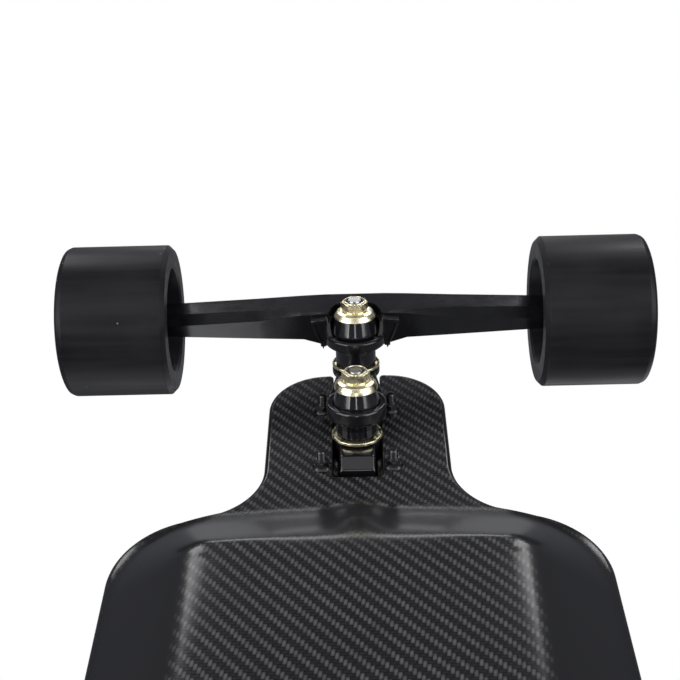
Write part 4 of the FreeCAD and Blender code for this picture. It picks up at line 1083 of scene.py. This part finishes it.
def surroundings(seen, cast):
    """White where the camera sees it, and a faint cool light on the board."""
    world = bpy.data.worlds.new("studio")
    scene.world = world
    world.use_nodes = True
    tree = world.node_tree
    back = tree.nodes["Background"]
    path = tree.nodes.new("ShaderNodeLightPath")
    level = tree.nodes.new("ShaderNodeMapRange")
    tree.links.new(path.outputs["Is Camera Ray"], level.inputs[0])
    level.inputs["To Min"].default_value = cast
    level.inputs["To Max"].default_value = seen
    tree.links.new(level.outputs[0], back.inputs["Strength"])
    tint = tree.nodes.new("ShaderNodeMix")
    tint.data_type = "RGBA"
    tree.links.new(path.outputs["Is Camera Ray"], tint.inputs[0])
    tint.inputs[6].default_value = (0.95, 0.97, 1.10, 1)
    tint.inputs[7].default_value = (1, 1, 1, 1)
    tree.links.new(tint.outputs[2], back.inputs["Color"])


def softbox(name, spot, width, height, radiance):
    """Area light at a place in the front truck's frame, in metres, aimed at its origin."""
    light = bpy.data.lights.new(name, "AREA")
    light.shape = "RECTANGLE"
    light.size = width
    light.size_y = height
    light.energy = radiance * math.pi * width * height
    lamp = bpy.data.objects.new(name, light)
    scene.collection.objects.link(lamp)
    lamp.location = TRUCK_PLACE["front"].translation + spot
    lamp.rotation_euler = (-spot).to_track_quat("-Z", "Y").to_euler()
    lamp.visible_camera = False
    return lamp


# camera in the front truck's frame: it looks outboard and up from below the board
LENS_MM = 66.3
SENSOR_MM = 36.0
CAMERA_TARGET = Vector((10.595, 104.529, 0))
CAMERA_DISTANCE = 830.8
CAMERA_ELEVATION = math.radians(33.667)
CAMERA_YAW = math.radians(-1.289)
CAMERA_ROLL = math.radians(-2.026)


def camera():
    elevation, yaw, roll = CAMERA_ELEVATION, CAMERA_YAW, CAMERA_ROLL
    forward = Vector((-math.sin(yaw) * math.cos(elevation), math.cos(yaw) * math.cos(elevation),
                      math.sin(elevation)))
    right = Vector((-math.cos(yaw), -math.sin(yaw), 0))
    up = right.cross(forward)
    tilted_right = math.cos(roll) * right + math.sin(roll) * up
    tilted_up = math.cos(roll) * up - math.sin(roll) * right
    data = bpy.data.cameras.new("camera")
    data.lens = LENS_MM
    data.sensor_width = SENSOR_MM
    data.clip_start = 0.01
    eye = bpy.data.objects.new("camera", data)
    scene.collection.objects.link(eye)
    turn = Matrix((tilted_right, tilted_up, -forward)).transposed().to_4x4()
    spot = TRUCK_PLACE["front"] @ (CAMERA_TARGET - forward * CAMERA_DISTANCE)
    eye.matrix_world = Matrix.Translation(spot) @ turn
    scene.camera = eye


# softboxes round the front truck, directions in its frame: (name, direction, distance,
# width, height, radiance); lengths in metres
SOFTBOXES = (
    ("nose_backdrop", (0.0, 0.95, 0.31), 1.6, 1.0, 1.4, 0.22),
    ("nose_low", (0.0, 0.97, -0.20), 1.6, 0.7, 0.22, 3.2),
    ("nose_left", (0.40, 0.72, -0.57), 1.3, 0.30, 0.50, 5.0),
    ("nose_right", (-0.40, 0.72, -0.57), 1.3, 0.30, 0.50, 5.4),
    ("under_box", (0.0, -0.25, -0.97), 1.3, 1.1, 0.6, 0.68),
    ("low_left", (0.80, -0.45, -0.55), 1.3, 1.1, 1.1, 3.0),
    ("low_right", (-0.80, -0.45, -0.55), 1.3, 1.1, 1.1, 3.0),
    ("tail_panel", (0.0, -0.80, -0.60), 1.4, 0.9, 0.35, 0.4),
    ("tail_strip", (0.0, -0.95, -0.28), 1.6, 0.13, 0.9, 5.5),
    ("tail_strip_left", (0.57, -0.78, -0.28), 1.6, 0.13, 0.9, 5.5),
    ("upper_key", (0.45, -0.55, 1.60), 2.0, 1.4, 1.4, 1.2),
    ("upper_fill", (-0.70, 0.40, 1.20), 2.0, 1.4, 1.4, 0.9),
)


def light_up():
    scene.view_settings.view_transform = "Standard"
    surroundings(seen=1.0, cast=0.17)
    for name, direction, distance, width, height, radiance in SOFTBOXES:
        softbox(name, Vector(direction).normalized() * distance, width, height, radiance)


deck()
trucks()
wheels()
drive()
stage()
light_up()
camera()
